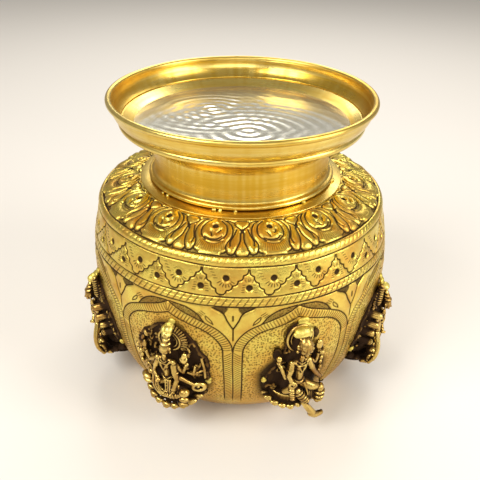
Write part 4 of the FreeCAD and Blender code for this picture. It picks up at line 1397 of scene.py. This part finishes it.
def tack_clay():
    """Small lumps of filler between the foot bead and the collar."""
    clay = Clay(23)
    draw = clay.draw.uniform
    for angle in (-52, -47, -15, -11, -3, 38, 75, 118, 160, 205, 248):
        turn = math.radians(angle)
        for _ in range(3):
            reach = (60.2 + draw(-0.3, 0.9)) / UNIT
            swing = turn + draw(-0.018, 0.018)
            clay.ball((reach * math.sin(swing), reach * math.cos(swing), (140.9 + draw(-0.5, 0.6)) / UNIT),
                      draw(1.1, 1.9))
    return clay


def figure_clay(number):
    """A figure, by its place in DESIGNS."""
    if DESIGNS[number] == "leg_down":
        return leg_down_figure(FIGURE_SEED + number)
    return crossed_figure(FIGURE_SEED + number, DESIGNS[number] == "low")


for number in range(FIGURE_COUNT):
    co, quads, field = melted(figure_clay(number), FIGURE_VOXEL, mirrored=number in MIRRORED)
    node = f"figure_{number + 1}"
    casting = (on_belly(co, *seat_of(number)), quads, field)
    finish_piece(piece_of(f"{node}_cast", [casting], cast), node)
lumps = []
braze_draw = random.Random(17)
# the braze keeps a third of the casting darkness and the tacks none; both keep its warmth, which follows the
# tarnish and painted shade
for number in range(FIGURE_COUNT):
    co, quads, (dark, warm) = melted(braze_clay(number, braze_draw), BRAZE_VOXEL)
    lumps.append((on_belly(co, *seat_of(number)), quads, (dark * 0.35, warm)))
finish_piece(piece_of("figure_braze_lumps", lumps, filler), "figure_brazes")
co, quads, (dark, warm) = melted(tack_clay(), TACK_VOXEL, bent=False)
finish_piece(piece_of("neck_tack_lumps", [(co, quads, (dark * 0, warm))], filler), "neck_tacks")


# ---------------------------------------------------------------- stage, light and camera

def flat_material(name, colour, rough, metal=0.0):
    """A plain finish, for what isn't part of the pot."""
    material = bpy.data.materials.new(name)
    material.use_nodes = True
    shader = material.node_tree.nodes["Principled BSDF"]
    shader.inputs["Base Color"].default_value = (*colour, 1)
    shader.inputs["Roughness"].default_value = rough
    shader.inputs["Metallic"].default_value = metal
    return material


def water():
    """Rippled water standing in the dish, shown with the pot but not part of it."""
    level, rows, columns = 175.6, 150, 360
    wall_line = mouth_section()
    wall_line = wall_line[(wall_line[:, 1] > 165) & (wall_line[:, 1] < 179.4)]
    inner_line = wall_line[len(wall_line) // 2:]
    radius = float(np.interp(level, inner_line[::-1, 1], inner_line[::-1, 0])) + 0.3
    reach = np.linspace(0.4, radius, rows)[:, None]
    theta = np.linspace(0, CIRCLE, columns, endpoint=False)[None, :]
    x, y = reach * np.sin(theta), -reach * np.cos(theta)
    draw = random.Random(8).uniform
    swell = np.zeros(x.shape)
    for share, cx, cy in ((0.15, 4, -22), (0.07, draw(-30, 30), 12), (0.07, -20, draw(-20, 20))):
        gap = np.hypot(x - cx, (y - cy) * 1.15)
        swell += share * np.sin(gap * draw(0.75, 0.95) + draw(0, 6)) * np.exp(-gap / 34)
    vertices = np.stack([x, y, level + swell], -1).reshape(-1, 3)
    faces = [ring_quads(rows, columns)[:, [0, 3, 2, 1]], np.arange(columns)[None, :]]
    silver = flat_material("water_silver", (0.60, 0.59, 0.51), 0.16, 0.9)
    return make_object("water", vertices, faces, None, silver)


bpy.ops.mesh.primitive_plane_add(size=4, location=(0, 0, -0.0002))
floor = bpy.context.object
floor.name = "floor"
floor.data.materials.append(flat_material("floor_pale", (0.72, 0.69, 0.65), 0.45))
floor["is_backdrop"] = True
water()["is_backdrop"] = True

scene = bpy.context.scene
world = bpy.data.worlds.new("room")
scene.world = world
world.use_nodes = True
background = world.node_tree.nodes["Background"]
background.inputs["Color"].default_value = (0.93, 0.88, 0.80, 1)
background.inputs["Strength"].default_value = 0.42

for name, place, height_aimed, size, power in (
        ("key", (-0.7, -0.6, 1.0), 0.1, (0.7, 0.7), 14),
        ("side", (0.9, -0.4, 0.6), 0.1, (0.5, 0.8), 9),
        ("front", (0.25, -1.4, 0.75), 0.06, (1.1, 0.5), 5),
        ("back", (0.1, 0.9, 0.9), 0.12, (1.0, 0.5), 8)):
    light = bpy.data.lights.new(name, "AREA")
    light.shape, light.size, light.size_y = "RECTANGLE", *size
    light.energy, light.color = power, (1, 0.97, 0.92)
    lamp = bpy.data.objects.new(name, light)
    lamp.location = place
    lamp.rotation_euler = (Vector((0, 0, height_aimed)) - Vector(place)).to_track_quat("-Z", "Y").to_euler()
    scene.collection.objects.link(lamp)

PITCH, ROLL = math.radians(30.68), math.radians(0.943)
REACH, AIM = 0.45504, 0.08592           # the camera's distance from the axis, and the height it looks at
camera = bpy.data.cameras.new("camera")
camera.lens, camera.sensor_width = 48.24, 36
eye = bpy.data.objects.new("camera", camera)
scene.collection.objects.link(eye)
eye.location = (0, -REACH * math.cos(PITCH), AIM + REACH * math.sin(PITCH))
eye.rotation_euler = (Matrix.Rotation(math.pi / 2 - PITCH, 4, "X") @ Matrix.Rotation(ROLL, 4, "Z")).to_euler()
scene.camera = eye
scene.view_settings.view_transform = "Standard"

new_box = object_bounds()
str([[list(map(float, corner)) for corner in box] for box in (cad_box, new_box)])
